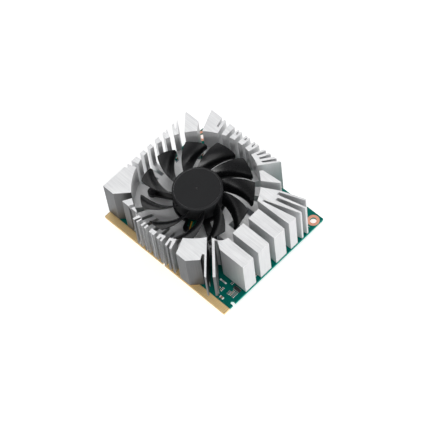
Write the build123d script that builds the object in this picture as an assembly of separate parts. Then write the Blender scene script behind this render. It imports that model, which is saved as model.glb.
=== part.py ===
from build123d import *
import os
from math import atan2, cos, degrees, hypot, radians, sin, sqrt, tan

# Accelerator module: an edge card that carries a processor, with a slotted aluminium
# heat sink over it and a slim open fan sunk into the middle of the heat sink.
#
# Frame: millimetres, +Z up. The origin is the centre of the footprint, on the plane
# that the backplate rests on. X runs along the card's contact edge, which lies at the
# lowest Y. The two mounting holes are near the two corners with the highest Y.

# Circuit board
BOARD_LENGTH = 82.0
BOARD_WIDTH = 70.0
BOARD_THICKNESS = 1.2
BOARD_CORNER_RADIUS = 0.4
MOUNT_HOLE_RADIUS = 1.6
MOUNT_HOLE_SIDE_INSET = 3.2
MOUNT_HOLE_BACK_INSET = 3.9
HOLE_RING_RADIUS = 3.1
COPPER_THICKNESS = 0.05
CONTACT_LENGTH = 3.4
CONTACT_PITCH = 1.0
CONTACT_GAP = 0.14
CONTACT_END_INSET = 0.15
KEY_CENTRE = 0.3
KEY_WIDTH = 1.6
KEY_DEPTH = 4.2
SIDE_NOTCH_WIDTH = 1.8
SIDE_NOTCH_DEPTH = 2.2
SIDE_NOTCH_FROM_EDGE = 7.0

# Backplate, its insulating film and the four countersunk screws that pull the
# heat sink down on to the processor
PLATE_THICKNESS = 1.2
PLATE_LENGTH = 32.0
PLATE_WIDTH = 45.0
PLATE_CORNER_RADIUS = 4.0
PLATE_WINDOW_LENGTH = 17.0
PLATE_WINDOW_WIDTH = 27.0
FILM_THICKNESS = 0.2
POST_SPACING_X = 24.0
POST_SPACING_Y = 37.0
POST_RADIUS = 2.2
SINK_SCREW_RADIUS = 1.25
SINK_SCREW_HEAD_RADIUS = 2.3
SINK_SCREW_LENGTH = 6.6
SINK_SCREW_SOCKET_RADIUS = 0.9
SINK_SCREW_SOCKET_DEPTH = 0.7
SCREW_CLEARANCE = 0.05

# Processor package, its memory and the pads between the chips and the heat sink
PROCESSOR_FROM_LEFT = 32.0
PROCESSOR_Y = 0.0
SUBSTRATE_SIZE = 29.0
SUBSTRATE_THICKNESS = 1.0
DIE_SIZE = 20.0
DIE_THICKNESS = 1.1
STIFFENER_WIDTH = 2.4
STIFFENER_THICKNESS = 0.7
MEMORY_LENGTH = 11.0
MEMORY_WIDTH = 14.0
MEMORY_THICKNESS = 1.1
MEMORY_OFFSET_X = 21.5
MEMORY_OFFSET_Y = 8.0

# Heat sink block
SINK_GAP = 0.8
SINK_HEIGHT = 23.2
RECESS_DEPTH = 1.4
RECESS_SIDE_CLEARANCE = 2.0
RECESS_RIM = 9.0
POCKET_DEPTH = 14.0
POCKET_FRONT_WALL = 2.2
POCKET_BACK_WALL = 5.4
POCKET_LEFT_WALL = 2.3
LAND_STEP = 1.3
RELIEF_FIN_LENGTH = 16.6
RELIEF_FRONT = 15.6
RELIEF_BACK = 10.8
RELIEF_CORNER_RADIUS = 4.5
STEP_LENGTH = 23.1
STEP_DEPTH = 3.5
UNDERCUT_LENGTH = 16.6
UNDERCUT_WIDTH = 6.0
UNDERCUT_HEIGHT = 5.4

# How far the slots reach in from each side, to the solid core
SLOT_REACH = {"front": 13.0, "back": 13.0, "left": 10.0, "right": 27.9}

# Slots that reach the solid core: place at the side, place at the core, and the slot's
# width at those two ends. The slots spread with the card, so their places are shares of
# the side, counted from its left or front end.
THROUGH_SLOTS = {
    "front": [
        (0.09, 0.212, 7.6, 2.4), (0.204, 0.277, 1.8, 1.7), (0.278, 0.32, 2.4, 1.6),
        (0.344, 0.37, 2.2, 1.6), (0.411, 0.415, 2.4, 1.4), (0.477, 0.461, 1.8, 1.2),
        (0.543, 0.515, 2.4, 1.4), (0.627, 0.566, 3.4, 2.2),
    ],
    "right": [(0.343, 0.343, 3.4, 3.2), (0.496, 0.496, 3.6, 3.4), (0.646, 0.641, 3.2, 2.9)],
    "back": [
        (0.241, 0.277, 2.6, 1.6), (0.311, 0.316, 2.2, 1.6), (0.374, 0.373, 2.5, 1.6),
        (0.441, 0.424, 2.6, 1.4), (0.518, 0.468, 3.2, 1.4),
    ],
    "left": [
        (0.82, 0.68, 5.4, 3.4), (0.7, 0.61, 3.2, 1.9), (0.611, 0.561, 2.7, 1.7),
        (0.534, 0.503, 2.6, 1.6), (0.461, 0.463, 2.4, 1.7), (0.389, 0.409, 2.4, 1.8),
        (0.307, 0.344, 2.3, 1.9),
    ],
}
# Notches that end inside a fin, given the same way, and each notch's length
NOTCHES = {
    "front": [
        (0.313, 0.327, 1.3, 0.7, 3.0), (0.377, 0.38, 1.2, 0.8, 2.8), (0.445, 0.445, 0.8, 0.8, 0.5),
        (0.509, 0.51, 1.0, 0.9, 1.8), (0.582, 0.568, 1.7, 0.9, 3.5),
    ],
    "right": [(0.759, 0.69, 3.2, 0.9, 18.2), (0.814, 0.76, 2.6, 1.8, 14.0), (0.87, 0.799, 3.6, 1.6, 15.6)],
    "back": [
        (0.202, 0.218, 1.7, 0.9, 5.4), (0.341, 0.343, 1.0, 0.9, 2.7), (0.409, 0.407, 1.0, 0.9, 2.4),
        (0.474, 0.472, 1.1, 0.8, 3.0), (0.565, 0.535, 2.0, 1.0, 4.7), (0.605, 0.563, 2.2, 1.1, 5.4),
        (0.651, 0.59, 2.0, 1.2, 6.1),
    ],
    "left": [(0.76, 0.721, 1.9, 0.9, 2.9), (0.657, 0.65, 1.0, 0.8, 1.1), (0.27, 0.273, 1.8, 0.9, 1.3)],
}
# Corners cut away: screwdriver room over the two mounting holes, and the fanned
# single fins of the front right corner. Points are measured in from the block's corner.
HOLE_CORNER_RIGHT = [
    (28.1, 19.2), (15.8, 12.3), (6.0, 8.54), (5.6, 9.44), (-1.0, 6.9), (-1.0, -1.0),
    (25.8, -1.0), (33.9, 9.1), (36.1, 11.9), (33.8, 13.8), (31.2, 11.0), (29.9, 9.3),
    (18.8, 8.4), (18.9, 9.3), (27.0, 14.7), (30.4, 17.0),
]
HOLE_CORNER_LEFT = [
    (-1.0, -1.0), (8.1, -1.0), (8.8, 0.6), (13.5, 11.3), (18.3, 18.0),
    (16.5, 19.7), (12.1, 13.8), (8.3, 9.1), (-1.0, 9.1),
]
FIN_CORNER_CUTS = [
    [(22.8, -1.5), (22.8, 0.0), (17.8, 5.1), (19.4, 7.8), (18.5, 8.6), (9.1, -1.3)],
    [(26.0, 18.0), (24.1, 19.2), (3.6, -1.0), (8.1, -1.0)],
    [
        (20.3, 17.2), (19.1, 18.0), (14.9, 15.2), (-1.0, 15.2), (-1.0, -1.0),
        (8.0, -1.0), (7.0, 2.3), (6.1, 3.3),
    ],
]
# Sector of the pocket, measured from its centre, where the land stands
LAND_WEDGE = [(7.5, -10.4), (20.5, -34.4), (43.5, -34.4), (15.5, -4.4)]

# Fan: frame, motor and rotor
FAN_OFFSET_X = 0.9
FAN_OFFSET_Y = -0.2
FRAME_BASE_RADIUS = 13.0
FRAME_BASE_THICKNESS = 1.2
FRAME_ARM_WIDTH = 3.4
FRAME_ARM_THICKNESS = 1.7
FRAME_ARM_ANGLES = [-150.0, -30.0, 90.0]
BOSS_FROM_WALL = 7.6
BOSS_RADIUS = 2.3
BOSS_HEIGHT = 2.4
FAN_SCREW_RADIUS = 0.95
FAN_SCREW_HEAD_RADIUS = 1.6
FAN_SCREW_HEAD_HEIGHT = 1.0
FAN_SCREW_LENGTH = 5.4
FAN_SCREW_CROSS_LENGTH = 1.7
FAN_SCREW_CROSS_WIDTH = 0.35
FAN_SCREW_CROSS_DEPTH = 0.45
FAN_SCREW_TIP_ROOM = 1.0
HUB_RADIUS = 12.35
HUB_TOP_BELOW_SINK = 1.8
HUB_WALL = 1.2
HUB_CAP_THICKNESS = 1.1
HUB_EDGE_RADIUS = 0.5
HUB_HEIGHT = 9.2
CAP_RIM_WIDTH = 0.9
CAP_RECESS_DEPTH = 0.12
GATE_MARK_RADIUS = 0.45
GATE_MARK_DEPTH = 0.2
TUBE_RADIUS = 3.2
TUBE_WALL = 0.8
TUBE_HEIGHT = 7.6
SHAFT_RADIUS = 1.0
BEARING_CLEARANCE = 0.04
SHAFT_END_GAP = 0.3
CLIP_RADIUS = 1.9
CLIP_THICKNESS = 0.4
CLIP_HEIGHT = 0.7
CLIP_SLOT = 0.5
GROOVE_DEPTH = 0.25
YOKE_THICKNESS = 0.5
YOKE_SKIRT = 0.4
MAGNET_THICKNESS = 1.5
MAGNET_HEIGHT = 5.2
AIR_GAP = 0.3
STATOR_THICKNESS = 3.2
STATOR_POLES = 4
STATOR_POLE_WIDTH = 2.4
STATOR_SHOE_THICKNESS = 0.9
STATOR_SHOE_GAP = 1.6
STATOR_HUB_WALL = 1.2
COIL_THICKNESS = 0.7
COIL_CLEARANCE = 0.15
DRIVER_THICKNESS = 0.8
DRIVER_STANDOFF = 0.4
DRIVER_RADIUS = 10.4
DRIVER_TAB_LENGTH = 5.2
DRIVER_TAB_WIDTH = 3.6
DRIVER_BORE_CLEARANCE = 0.1
SUPPORT_WALL = 2.4

# Rotor blades: eleven swept blades, cambered, with rounded tip corners. Angles are
# measured from the blade's own zero line, counted towards the direction of rotation.
BLADE_COUNT = 11
BLADE_ZERO_ANGLE = 3.5
BLADE_TIP_CLEARANCE = 3.4
BLADE_TIP_CORNER_RADIUS = 0.8
BLADE_THICKNESS = 0.8
BLADE_ROOT_LEAD_ANGLE = 33.0
BLADE_ROOT_TRAIL_ANGLE = 18.0
BLADE_TIP_LEAD_ANGLE = 12.0
BLADE_TIP_TRAIL_ANGLE = -12.0
BLADE_ROOT_LEAD_DROP = 0.9
BLADE_ROOT_TRAIL_DROP = 7.6
BLADE_TIP_LEAD_DROP = 0.1
BLADE_TIP_TRAIL_DROP = 5.2
BLADE_CAMBER = 0.9
BLADE_EDGE_MARGIN = 2.0
BLADE_TIP_MARGIN = 1.5

# Leads of the fan, from the driver's tab down a slot to the header on the board
LEAD_RADIUS = 0.3
LEAD_PITCH = 0.75
LEAD_COUNT = 3
LEAD_START_OUTSIDE_HUB = 0.9
LEAD_FROM_CORE = 2.6
LEAD_BEND_RADIUS = 3.0
HEADER_LENGTH = 3.4
HEADER_DEPTH = 2.2
HEADER_HEIGHT = 1.8
LUG_ANGLE = -66.0
LUG_LENGTH = 5.4
LUG_WIDTH = 4.4
LUG_THICKNESS = 1.5

# Small parts on the board: place, then length, width and height. Power stages,
# inductors and the capacitors underneath are placed from the processor's centre, the
# parts at the front right and back left corners from the card's corner, inwards.
POWER_STAGES = [(-6.0, -21.0), (0.0, -21.0), (6.0, -21.0)]
POWER_STAGE_SIZE = (4.4, 4.4, 0.9)
INDUCTORS = [(-6.0, 21.0), (0.0, 21.0), (6.0, 21.0)]
INDUCTOR_SIZE = (5.0, 5.0, 1.9)
UNDERSIDE_COLUMNS = (-4.0, 4.0)
UNDERSIDE_ROWS = (-6.0, -2.0, 2.0, 6.0)
CONTROLLER_AT = (4.4, 13.7)
CONTROLLER_SIZE = (4.0, 2.2, 0.75)
FLASH_AT = (12.4, 12.4)
FLASH_SIZE = (4.0, 1.2, 0.6)
CRYSTAL_AT = (6.9, 5.6)
CRYSTAL_SIZE = (2.2, 1.2, 0.5)
CHIP_SIZE = (1.0, 0.5, 0.45)
CHIP_ROW_PITCH = 0.85
RESISTOR_ROWS = [(3.1, 10.5), (6.1, 9.8), (8.4, 14.4)]
RESISTOR_ROW_COUNTS = (4, 3, 2)
CAPACITOR_ROWS = [(4.8, 10.5), (9.8, 9.0), (11.6, 8.6), (3.1, 25.4)]
CAPACITOR_ROW_COUNTS = (4, 3, 2, 2)
BANK_CAPACITORS = [(11.6, 10.4), (11.6, 12.1), (3.6, 21.8), (3.6, 20.1)]
BANK_CAPACITOR_SIZE = (2.0, 1.25, 0.7)

# Levels and places worked out from the sizes above
FILM_Z = PLATE_THICKNESS
BOARD_Z = FILM_Z + FILM_THICKNESS
BOARD_TOP = BOARD_Z + BOARD_THICKNESS
SINK_Z = BOARD_TOP + SINK_GAP
SINK_TOP = SINK_Z + SINK_HEIGHT
RECESS_TOP = SINK_Z + RECESS_DEPTH
FLOOR_Z = SINK_TOP - POCKET_DEPTH
BASE_TOP = FLOOR_Z + FRAME_BASE_THICKNESS
HUB_TOP = SINK_TOP - HUB_TOP_BELOW_SINK
HUB_BOTTOM = HUB_TOP - HUB_HEIGHT
YOKE_RADIUS = HUB_RADIUS - HUB_WALL
YOKE_TOP = HUB_TOP - HUB_CAP_THICKNESS
MAGNET_RADIUS = YOKE_RADIUS - YOKE_THICKNESS
MAGNET_TOP = YOKE_TOP - YOKE_THICKNESS
STATOR_RADIUS = MAGNET_RADIUS - MAGNET_THICKNESS - AIR_GAP
STATOR_Z = MAGNET_TOP - MAGNET_HEIGHT / 2 - STATOR_THICKNESS / 2
DRIVER_Z = BASE_TOP + DRIVER_STANDOFF
DRIVER_TOP = DRIVER_Z + DRIVER_THICKNESS
HALF_X = BOARD_LENGTH / 2
HALF_Y = BOARD_WIDTH / 2
POCKET_RADIUS = (BOARD_WIDTH - POCKET_FRONT_WALL - POCKET_BACK_WALL) / 2
POCKET_X = -HALF_X + POCKET_LEFT_WALL + POCKET_RADIUS
POCKET_Y = -HALF_Y + POCKET_FRONT_WALL + POCKET_RADIUS
PROCESSOR_X = -HALF_X + PROCESSOR_FROM_LEFT
RECESS_LENGTH = 2 * MEMORY_OFFSET_X + MEMORY_LENGTH + 2 * RECESS_SIDE_CLEARANCE
RECESS_WIDTH = BOARD_WIDTH - 2 * RECESS_RIM
FAN_X = POCKET_X + FAN_OFFSET_X
FAN_Y = POCKET_Y + FAN_OFFSET_Y
FAN = Location((FAN_X, FAN_Y, 0))
BOSS_CIRCLE_RADIUS = POCKET_RADIUS - BOSS_FROM_WALL
BLADE_TIP_RADIUS = POCKET_RADIUS - BLADE_TIP_CLEARANCE
LEAD_DROP_Y = -HALF_Y + SLOT_REACH["front"] - LEAD_FROM_CORE
POSTS = [
    (PROCESSOR_X + sx * POST_SPACING_X / 2, PROCESSOR_Y + sy * POST_SPACING_Y / 2)
    for sx in (-1, 1) for sy in (-1, 1)
]
MOUNT_HOLES = [
    (side * (HALF_X - MOUNT_HOLE_SIDE_INSET), HALF_Y - MOUNT_HOLE_BACK_INSET)
    for side in (-1, 1)
]
CUT = 1.0


def block(x, y, z, length, width, height):
    """A box centred on x and y that stands on z."""
    return Pos(x, y, z) * Box(length, width, height, align=(Align.CENTER, Align.CENTER, Align.MIN))


def disc(x, y, z, radius, height):
    """A cylinder that stands on z."""
    return Pos(x, y, z) * Cylinder(radius, height, align=(Align.CENTER, Align.CENTER, Align.MIN))


def ring(x, y, z, outer, inner, height):
    """A tube that stands on z."""
    return disc(x, y, z, outer, height) - disc(x, y, z - CUT, inner, height + 2 * CUT)


def prism(points, z, height):
    """A straight prism over an outline."""
    outline = make_face(Polyline(*points, close=True))
    return extrude(Pos(0, 0, z) * outline, height)


def plate(x, y, z, length, width, height, corner):
    """A flat plate with rounded corners that stands on z."""
    return extrude(Pos(x, y, z) * RectangleRounded(length, width, corner), height)


def group(solids):
    """Separate solids that share one node."""
    return Compound(children=[s for part in solids for s in part.solids()])


def polar(radius, angle):
    """A point on a circle, angle in degrees."""
    return radius * cos(radians(angle)), radius * sin(radians(angle))


def from_corner(points, side_x, side_y):
    """Points measured in from a corner of the card, in the model's frame."""
    return [(side_x * (HALF_X - x), side_y * (HALF_Y - y)) for x, y in points]


def circuit_board():
    """The card: key and side notches, mounting holes and screw holes."""
    board = plate(0, 0, BOARD_Z, BOARD_LENGTH, BOARD_WIDTH, BOARD_THICKNESS, BOARD_CORNER_RADIUS)
    low, tall = BOARD_Z - CUT, BOARD_THICKNESS + 2 * CUT
    edge = -BOARD_WIDTH / 2
    board -= block(KEY_CENTRE, edge + KEY_DEPTH / 2 - CUT / 2, low, KEY_WIDTH, KEY_DEPTH + CUT, tall)
    notch_y = edge + SIDE_NOTCH_FROM_EDGE
    for side in (-1, 1):
        inner = side * (BOARD_LENGTH / 2 - SIDE_NOTCH_DEPTH + SIDE_NOTCH_WIDTH / 2)
        board -= disc(inner, notch_y, low, SIDE_NOTCH_WIDTH / 2, tall)
        outer = side * (BOARD_LENGTH / 2 + CUT)
        board -= block((inner + outer) / 2, notch_y, low, abs(outer - inner), SIDE_NOTCH_WIDTH, tall)
    for x, y in MOUNT_HOLES:
        board -= disc(x, y, low, MOUNT_HOLE_RADIUS, tall)
    for x, y in POSTS:
        board -= disc(x, y, low, SINK_SCREW_RADIUS + SCREW_CLEARANCE, tall)
    return board


def edge_contacts(z):
    """One row of contacts along the card's edge, left out at the key notch."""
    usable = BOARD_LENGTH - 2 * CONTACT_END_INSET
    count = int(usable // CONTACT_PITCH)
    pad_width = CONTACT_PITCH - CONTACT_GAP
    pad_y = -BOARD_WIDTH / 2 + CONTACT_LENGTH / 2 + CONTACT_END_INSET / 2
    pads = []
    for index in range(count):
        x = (index - (count - 1) / 2) * CONTACT_PITCH
        if abs(x - KEY_CENTRE) > (KEY_WIDTH + pad_width) / 2:
            pads.append(block(x, pad_y, z, pad_width, CONTACT_LENGTH, COPPER_THICKNESS))
    return group(pads)


def hole_rings():
    """Copper rings round the mounting holes, on both faces of the card."""
    levels = (BOARD_Z - COPPER_THICKNESS, BOARD_TOP)
    return group(
        ring(x, y, z, HOLE_RING_RADIUS, MOUNT_HOLE_RADIUS, COPPER_THICKNESS)
        for x, y in MOUNT_HOLES for z in levels
    )


def framed_plate(z, thickness):
    """The outline that the backplate and its film share, with the window cut out."""
    body = plate(PROCESSOR_X, PROCESSOR_Y, z, PLATE_LENGTH, PLATE_WIDTH, thickness, PLATE_CORNER_RADIUS)
    window = plate(
        PROCESSOR_X, PROCESSOR_Y, z - CUT, PLATE_WINDOW_LENGTH, PLATE_WINDOW_WIDTH,
        thickness + 2 * CUT, PLATE_CORNER_RADIUS / 2,
    )
    body -= window
    for x, y in POSTS:
        body -= disc(x, y, z - CUT, SINK_SCREW_RADIUS + SCREW_CLEARANCE, thickness + 2 * CUT)
    return body


def screw_head_cone(x, y, spread):
    """The countersink of a sink screw, opened by a clearance."""
    top = SINK_SCREW_HEAD_RADIUS - SINK_SCREW_RADIUS
    cone = Cone(
        SINK_SCREW_HEAD_RADIUS + spread, SINK_SCREW_RADIUS + spread, top,
        align=(Align.CENTER, Align.CENTER, Align.MIN),
    )
    return Pos(x, y, 0) * cone


def backplate():
    """Stamped steel plate under the card, countersunk for its screws."""
    body = framed_plate(0, PLATE_THICKNESS)
    for x, y in POSTS:
        body -= screw_head_cone(x, y, SCREW_CLEARANCE)
    return body


def sink_screws():
    """Four countersunk screws, from the backplate up into the heat sink's posts."""
    socket = RegularPolygon(SINK_SCREW_SOCKET_RADIUS, 6)
    screws = []
    for x, y in POSTS:
        screw = screw_head_cone(x, y, 0) + disc(x, y, 0, SINK_SCREW_RADIUS, SINK_SCREW_LENGTH)
        screws.append(screw - extrude(Pos(x, y, 0) * socket, SINK_SCREW_SOCKET_DEPTH))
    return group(screws)


def processor_substrate():
    """Laminate that carries the processor's die."""
    return block(PROCESSOR_X, PROCESSOR_Y, BOARD_TOP, SUBSTRATE_SIZE, SUBSTRATE_SIZE, SUBSTRATE_THICKNESS)


def processor_stiffener():
    """Flat metal frame round the rim of the substrate."""
    z = BOARD_TOP + SUBSTRATE_THICKNESS
    inner = SUBSTRATE_SIZE - 2 * STIFFENER_WIDTH
    frame = block(PROCESSOR_X, PROCESSOR_Y, z, SUBSTRATE_SIZE, SUBSTRATE_SIZE, STIFFENER_THICKNESS)
    return frame - block(PROCESSOR_X, PROCESSOR_Y, z - CUT, inner, inner, STIFFENER_THICKNESS + 2 * CUT)


def processor_die():
    """Bare silicon die."""
    z = BOARD_TOP + SUBSTRATE_THICKNESS
    return block(PROCESSOR_X, PROCESSOR_Y, z, DIE_SIZE, DIE_SIZE, DIE_THICKNESS)


def thermal_paste():
    """Paste that fills the gap between the die and the heat sink."""
    z = BOARD_TOP + SUBSTRATE_THICKNESS + DIE_THICKNESS
    return block(PROCESSOR_X, PROCESSOR_Y, z, DIE_SIZE, DIE_SIZE, RECESS_TOP - z)


def memory_row(z, height):
    """Four equal bodies over the four memory places."""
    return group(
        block(
            PROCESSOR_X + sx * MEMORY_OFFSET_X, PROCESSOR_Y + sy * MEMORY_OFFSET_Y, z,
            MEMORY_LENGTH, MEMORY_WIDTH, height,
        )
        for sx in (-1, 1) for sy in (-1, 1)
    )


def slot_outline(side, edge_share, end_share, edge_width, end_width, length):
    """Corners of one tapered slot that runs in from a side of the block."""
    side_length = BOARD_LENGTH if side in ("front", "back") else BOARD_WIDTH
    at_edge, at_end = edge_share * side_length, end_share * side_length
    slope = (at_edge - at_end) / length
    spread = (edge_width - end_width) / length
    outer, half_outer = at_edge + slope * CUT, (edge_width + spread * CUT) / 2
    rows = [
        (outer - half_outer, -CUT), (outer + half_outer, -CUT),
        (at_end + end_width / 2, length), (at_end - end_width / 2, length),
    ]
    if side == "front":
        return [(along - HALF_X, inset - HALF_Y) for along, inset in rows]
    if side == "back":
        return [(along - HALF_X, HALF_Y - inset) for along, inset in rows]
    if side == "left":
        return [(inset - HALF_X, along - HALF_Y) for along, inset in rows]
    return [(HALF_X - inset, along - HALF_Y) for along, inset in rows]


def slot_outlines():
    """Outlines of all slots, notches and cut corners."""
    outlines = [from_corner(HOLE_CORNER_RIGHT, 1, 1), from_corner(HOLE_CORNER_LEFT, -1, 1)]
    outlines += [from_corner(points, 1, -1) for points in FIN_CORNER_CUTS]
    for side, rows in THROUGH_SLOTS.items():
        outlines += [slot_outline(side, *row, SLOT_REACH[side]) for row in rows]
    for side, rows in NOTCHES.items():
        outlines += [slot_outline(side, *row) for row in rows]
    return outlines


def fan_pocket():
    """Room for the fan, held back by a land and let out by a relief on the right."""
    height = POCKET_DEPTH + CUT
    pocket = disc(0, 0, FLOOR_Z, POCKET_RADIUS, height)
    land = prism(LAND_WEDGE, FLOOR_Z, height) - disc(0, 0, FLOOR_Z, POCKET_RADIUS - LAND_STEP, height)
    reach = HALF_X - RELIEF_FIN_LENGTH - POCKET_X
    relief_y = (RELIEF_BACK - RELIEF_FRONT) / 2
    relief = block(reach / 2, relief_y, FLOOR_Z, reach, RELIEF_FRONT + RELIEF_BACK, height)
    upright = relief.edges().filter_by(Axis.Z).sort_by(Axis.X)[-2:].sort_by(Axis.Y)[0]
    return Pos(POCKET_X, POCKET_Y, 0) * (pocket - land + fillet(upright, RELIEF_CORNER_RADIUS))


def heat_sink():
    """One aluminium block: slots on all sides, fan pocket, chip recess and posts."""
    body = block(0, 0, SINK_Z, BOARD_LENGTH, BOARD_WIDTH, SINK_HEIGHT)
    body -= block(
        -HALF_X + (STEP_LENGTH - CUT) / 2, -HALF_Y + (STEP_DEPTH - CUT) / 2, SINK_Z - CUT,
        STEP_LENGTH + CUT, STEP_DEPTH + CUT, SINK_HEIGHT + 2 * CUT,
    )
    body -= [prism(points, SINK_Z - CUT, SINK_HEIGHT + 2 * CUT) for points in slot_outlines()]
    body -= block(
        HALF_X - (UNDERCUT_LENGTH - CUT) / 2, -HALF_Y + (UNDERCUT_WIDTH - CUT) / 2, SINK_Z - CUT,
        UNDERCUT_LENGTH + CUT, UNDERCUT_WIDTH + CUT, UNDERCUT_HEIGHT + CUT,
    )
    body -= fan_pocket()
    recess = block(PROCESSOR_X, 0, SINK_Z - CUT, RECESS_LENGTH, RECESS_WIDTH, RECESS_DEPTH + CUT)
    body -= recess
    for x, y in POSTS:
        body += disc(x, y, BOARD_TOP, POST_RADIUS, RECESS_TOP - BOARD_TOP + CUT)
        body -= disc(x, y, BOARD_TOP - CUT, SINK_SCREW_RADIUS + SCREW_CLEARANCE, SINK_SCREW_LENGTH + CUT)
    for angle in FRAME_ARM_ANGLES:
        x, y = polar(BOSS_CIRCLE_RADIUS, angle)
        depth = FAN_SCREW_LENGTH - BOSS_HEIGHT + FAN_SCREW_HEAD_HEIGHT + FAN_SCREW_TIP_ROOM
        body -= FAN * disc(x, y, FLOOR_Z - depth, FAN_SCREW_RADIUS + SCREW_CLEARANCE, depth + CUT)
    return body


def fan_frame():
    """Moulded frame on the pocket floor: motor base, three arms with bosses, lead lug."""
    frame = disc(0, 0, FLOOR_Z, FRAME_BASE_RADIUS, FRAME_BASE_THICKNESS)
    for angle in FRAME_ARM_ANGLES:
        middle = BOSS_CIRCLE_RADIUS / 2
        arm = block(middle, 0, FLOOR_Z, BOSS_CIRCLE_RADIUS, FRAME_ARM_WIDTH, FRAME_ARM_THICKNESS)
        boss = disc(BOSS_CIRCLE_RADIUS, 0, FLOOR_Z, BOSS_RADIUS, BOSS_HEIGHT)
        frame += Rot(0, 0, angle) * (arm + boss)
    lug_end = FRAME_BASE_RADIUS + LUG_LENGTH - LUG_WIDTH / 2
    lug = block(lug_end / 2, 0, FLOOR_Z, lug_end, LUG_WIDTH, LUG_THICKNESS)
    lug += disc(lug_end, 0, FLOOR_Z, LUG_WIDTH / 2, LUG_THICKNESS)
    frame += Rot(0, 0, LUG_ANGLE) * lug
    frame -= disc(0, 0, BASE_TOP, FRAME_BASE_RADIUS - HUB_WALL, BOSS_HEIGHT)
    for angle in FRAME_ARM_ANGLES:
        x, y = polar(BOSS_CIRCLE_RADIUS, angle)
        head_z = FLOOR_Z + BOSS_HEIGHT - FAN_SCREW_HEAD_HEIGHT
        frame -= disc(x, y, FLOOR_Z - CUT, FAN_SCREW_RADIUS + SCREW_CLEARANCE, BOSS_HEIGHT + 2 * CUT)
        frame -= disc(x, y, head_z, FAN_SCREW_HEAD_RADIUS + SCREW_CLEARANCE, BOSS_HEIGHT)
    return FAN * frame


def fan_screws():
    """Three pan-head screws that hold the fan frame to the pocket floor."""
    head_z = FLOOR_Z + BOSS_HEIGHT - FAN_SCREW_HEAD_HEIGHT
    slot = Box(FAN_SCREW_CROSS_LENGTH, FAN_SCREW_CROSS_WIDTH, 2 * FAN_SCREW_CROSS_DEPTH)
    screws = []
    for angle in FRAME_ARM_ANGLES:
        x, y = polar(BOSS_CIRCLE_RADIUS, angle)
        screw = disc(x, y, head_z, FAN_SCREW_HEAD_RADIUS, FAN_SCREW_HEAD_HEIGHT)
        screw += disc(x, y, head_z - FAN_SCREW_LENGTH, FAN_SCREW_RADIUS, FAN_SCREW_LENGTH)
        for turn in (0, 90):
            screw -= Pos(x, y, head_z + FAN_SCREW_HEAD_HEIGHT) * Rot(0, 0, turn) * slot
        screws.append(FAN * screw)
    return group(screws)


def bearing_tube():
    """Tube that stands on the motor base and carries the stator."""
    return FAN * ring(0, 0, BASE_TOP, TUBE_RADIUS, TUBE_RADIUS - TUBE_WALL, TUBE_HEIGHT)


def sleeve_bearing():
    """Sintered sleeve pressed into the tube, clear of the clip below it."""
    z = BASE_TOP + CLIP_HEIGHT + CLIP_THICKNESS + SHAFT_END_GAP
    height = BASE_TOP + TUBE_HEIGHT - z
    return FAN * ring(0, 0, z, TUBE_RADIUS - TUBE_WALL, SHAFT_RADIUS + BEARING_CLEARANCE, height)


def stator_core():
    """Laminated star with four poles, each with a curved shoe facing the magnet."""
    core = disc(0, 0, STATOR_Z, TUBE_RADIUS + STATOR_HUB_WALL, STATOR_THICKNESS)
    shoes = ring(0, 0, STATOR_Z, STATOR_RADIUS, STATOR_RADIUS - STATOR_SHOE_THICKNESS, STATOR_THICKNESS)
    tall = STATOR_THICKNESS + 2 * CUT
    for index in range(STATOR_POLES):
        turn = Rot(0, 0, index * 360 / STATOR_POLES)
        reach = STATOR_RADIUS - STATOR_SHOE_THICKNESS / 2
        core += turn * block(reach / 2, 0, STATOR_Z, reach, STATOR_POLE_WIDTH, STATOR_THICKNESS)
        half_turn = Rot(0, 0, (index + 0.5) * 360 / STATOR_POLES)
        shoes -= half_turn * block(STATOR_RADIUS, 0, STATOR_Z - CUT, STATOR_RADIUS, STATOR_SHOE_GAP, tall)
    return FAN * (core + shoes - disc(0, 0, STATOR_Z - CUT, TUBE_RADIUS, tall))


def stator_coils():
    """A coil of copper wire round each pole."""
    width = STATOR_POLE_WIDTH + 2 * COIL_THICKNESS
    inner = TUBE_RADIUS + STATOR_HUB_WALL + COIL_CLEARANCE
    shoe = STATOR_RADIUS - STATOR_SHOE_THICKNESS - COIL_CLEARANCE
    outer = sqrt(shoe**2 - (width / 2) ** 2)
    height = STATOR_THICKNESS + 2 * COIL_THICKNESS
    z = STATOR_Z - COIL_THICKNESS
    coils = []
    for index in range(STATOR_POLES):
        coil = block((inner + outer) / 2, 0, z, outer - inner, width, height)
        coil -= block((inner + outer) / 2, 0, STATOR_Z, outer, STATOR_POLE_WIDTH, STATOR_THICKNESS)
        coils.append(FAN * (Rot(0, 0, index * 360 / STATOR_POLES) * coil))
    return group(coils)


def driver_board():
    """Small round board under the rotor, with a tab for the leads."""
    board = disc(0, 0, DRIVER_Z, DRIVER_RADIUS, DRIVER_THICKNESS)
    tab_reach = DRIVER_RADIUS + DRIVER_TAB_LENGTH
    tab = block(tab_reach / 2, 0, DRIVER_Z, tab_reach, DRIVER_TAB_WIDTH, DRIVER_THICKNESS)
    board += Rot(0, 0, lead_angle()) * tab
    bore = TUBE_RADIUS + DRIVER_BORE_CLEARANCE
    return FAN * (board - disc(0, 0, DRIVER_Z - CUT, bore, DRIVER_THICKNESS + 2 * CUT))


def driver_supports():
    """Ring of insulation that lifts the driver board off the motor base."""
    return FAN * ring(0, 0, BASE_TOP, TUBE_RADIUS + SUPPORT_WALL, TUBE_RADIUS, DRIVER_STANDOFF)


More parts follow.
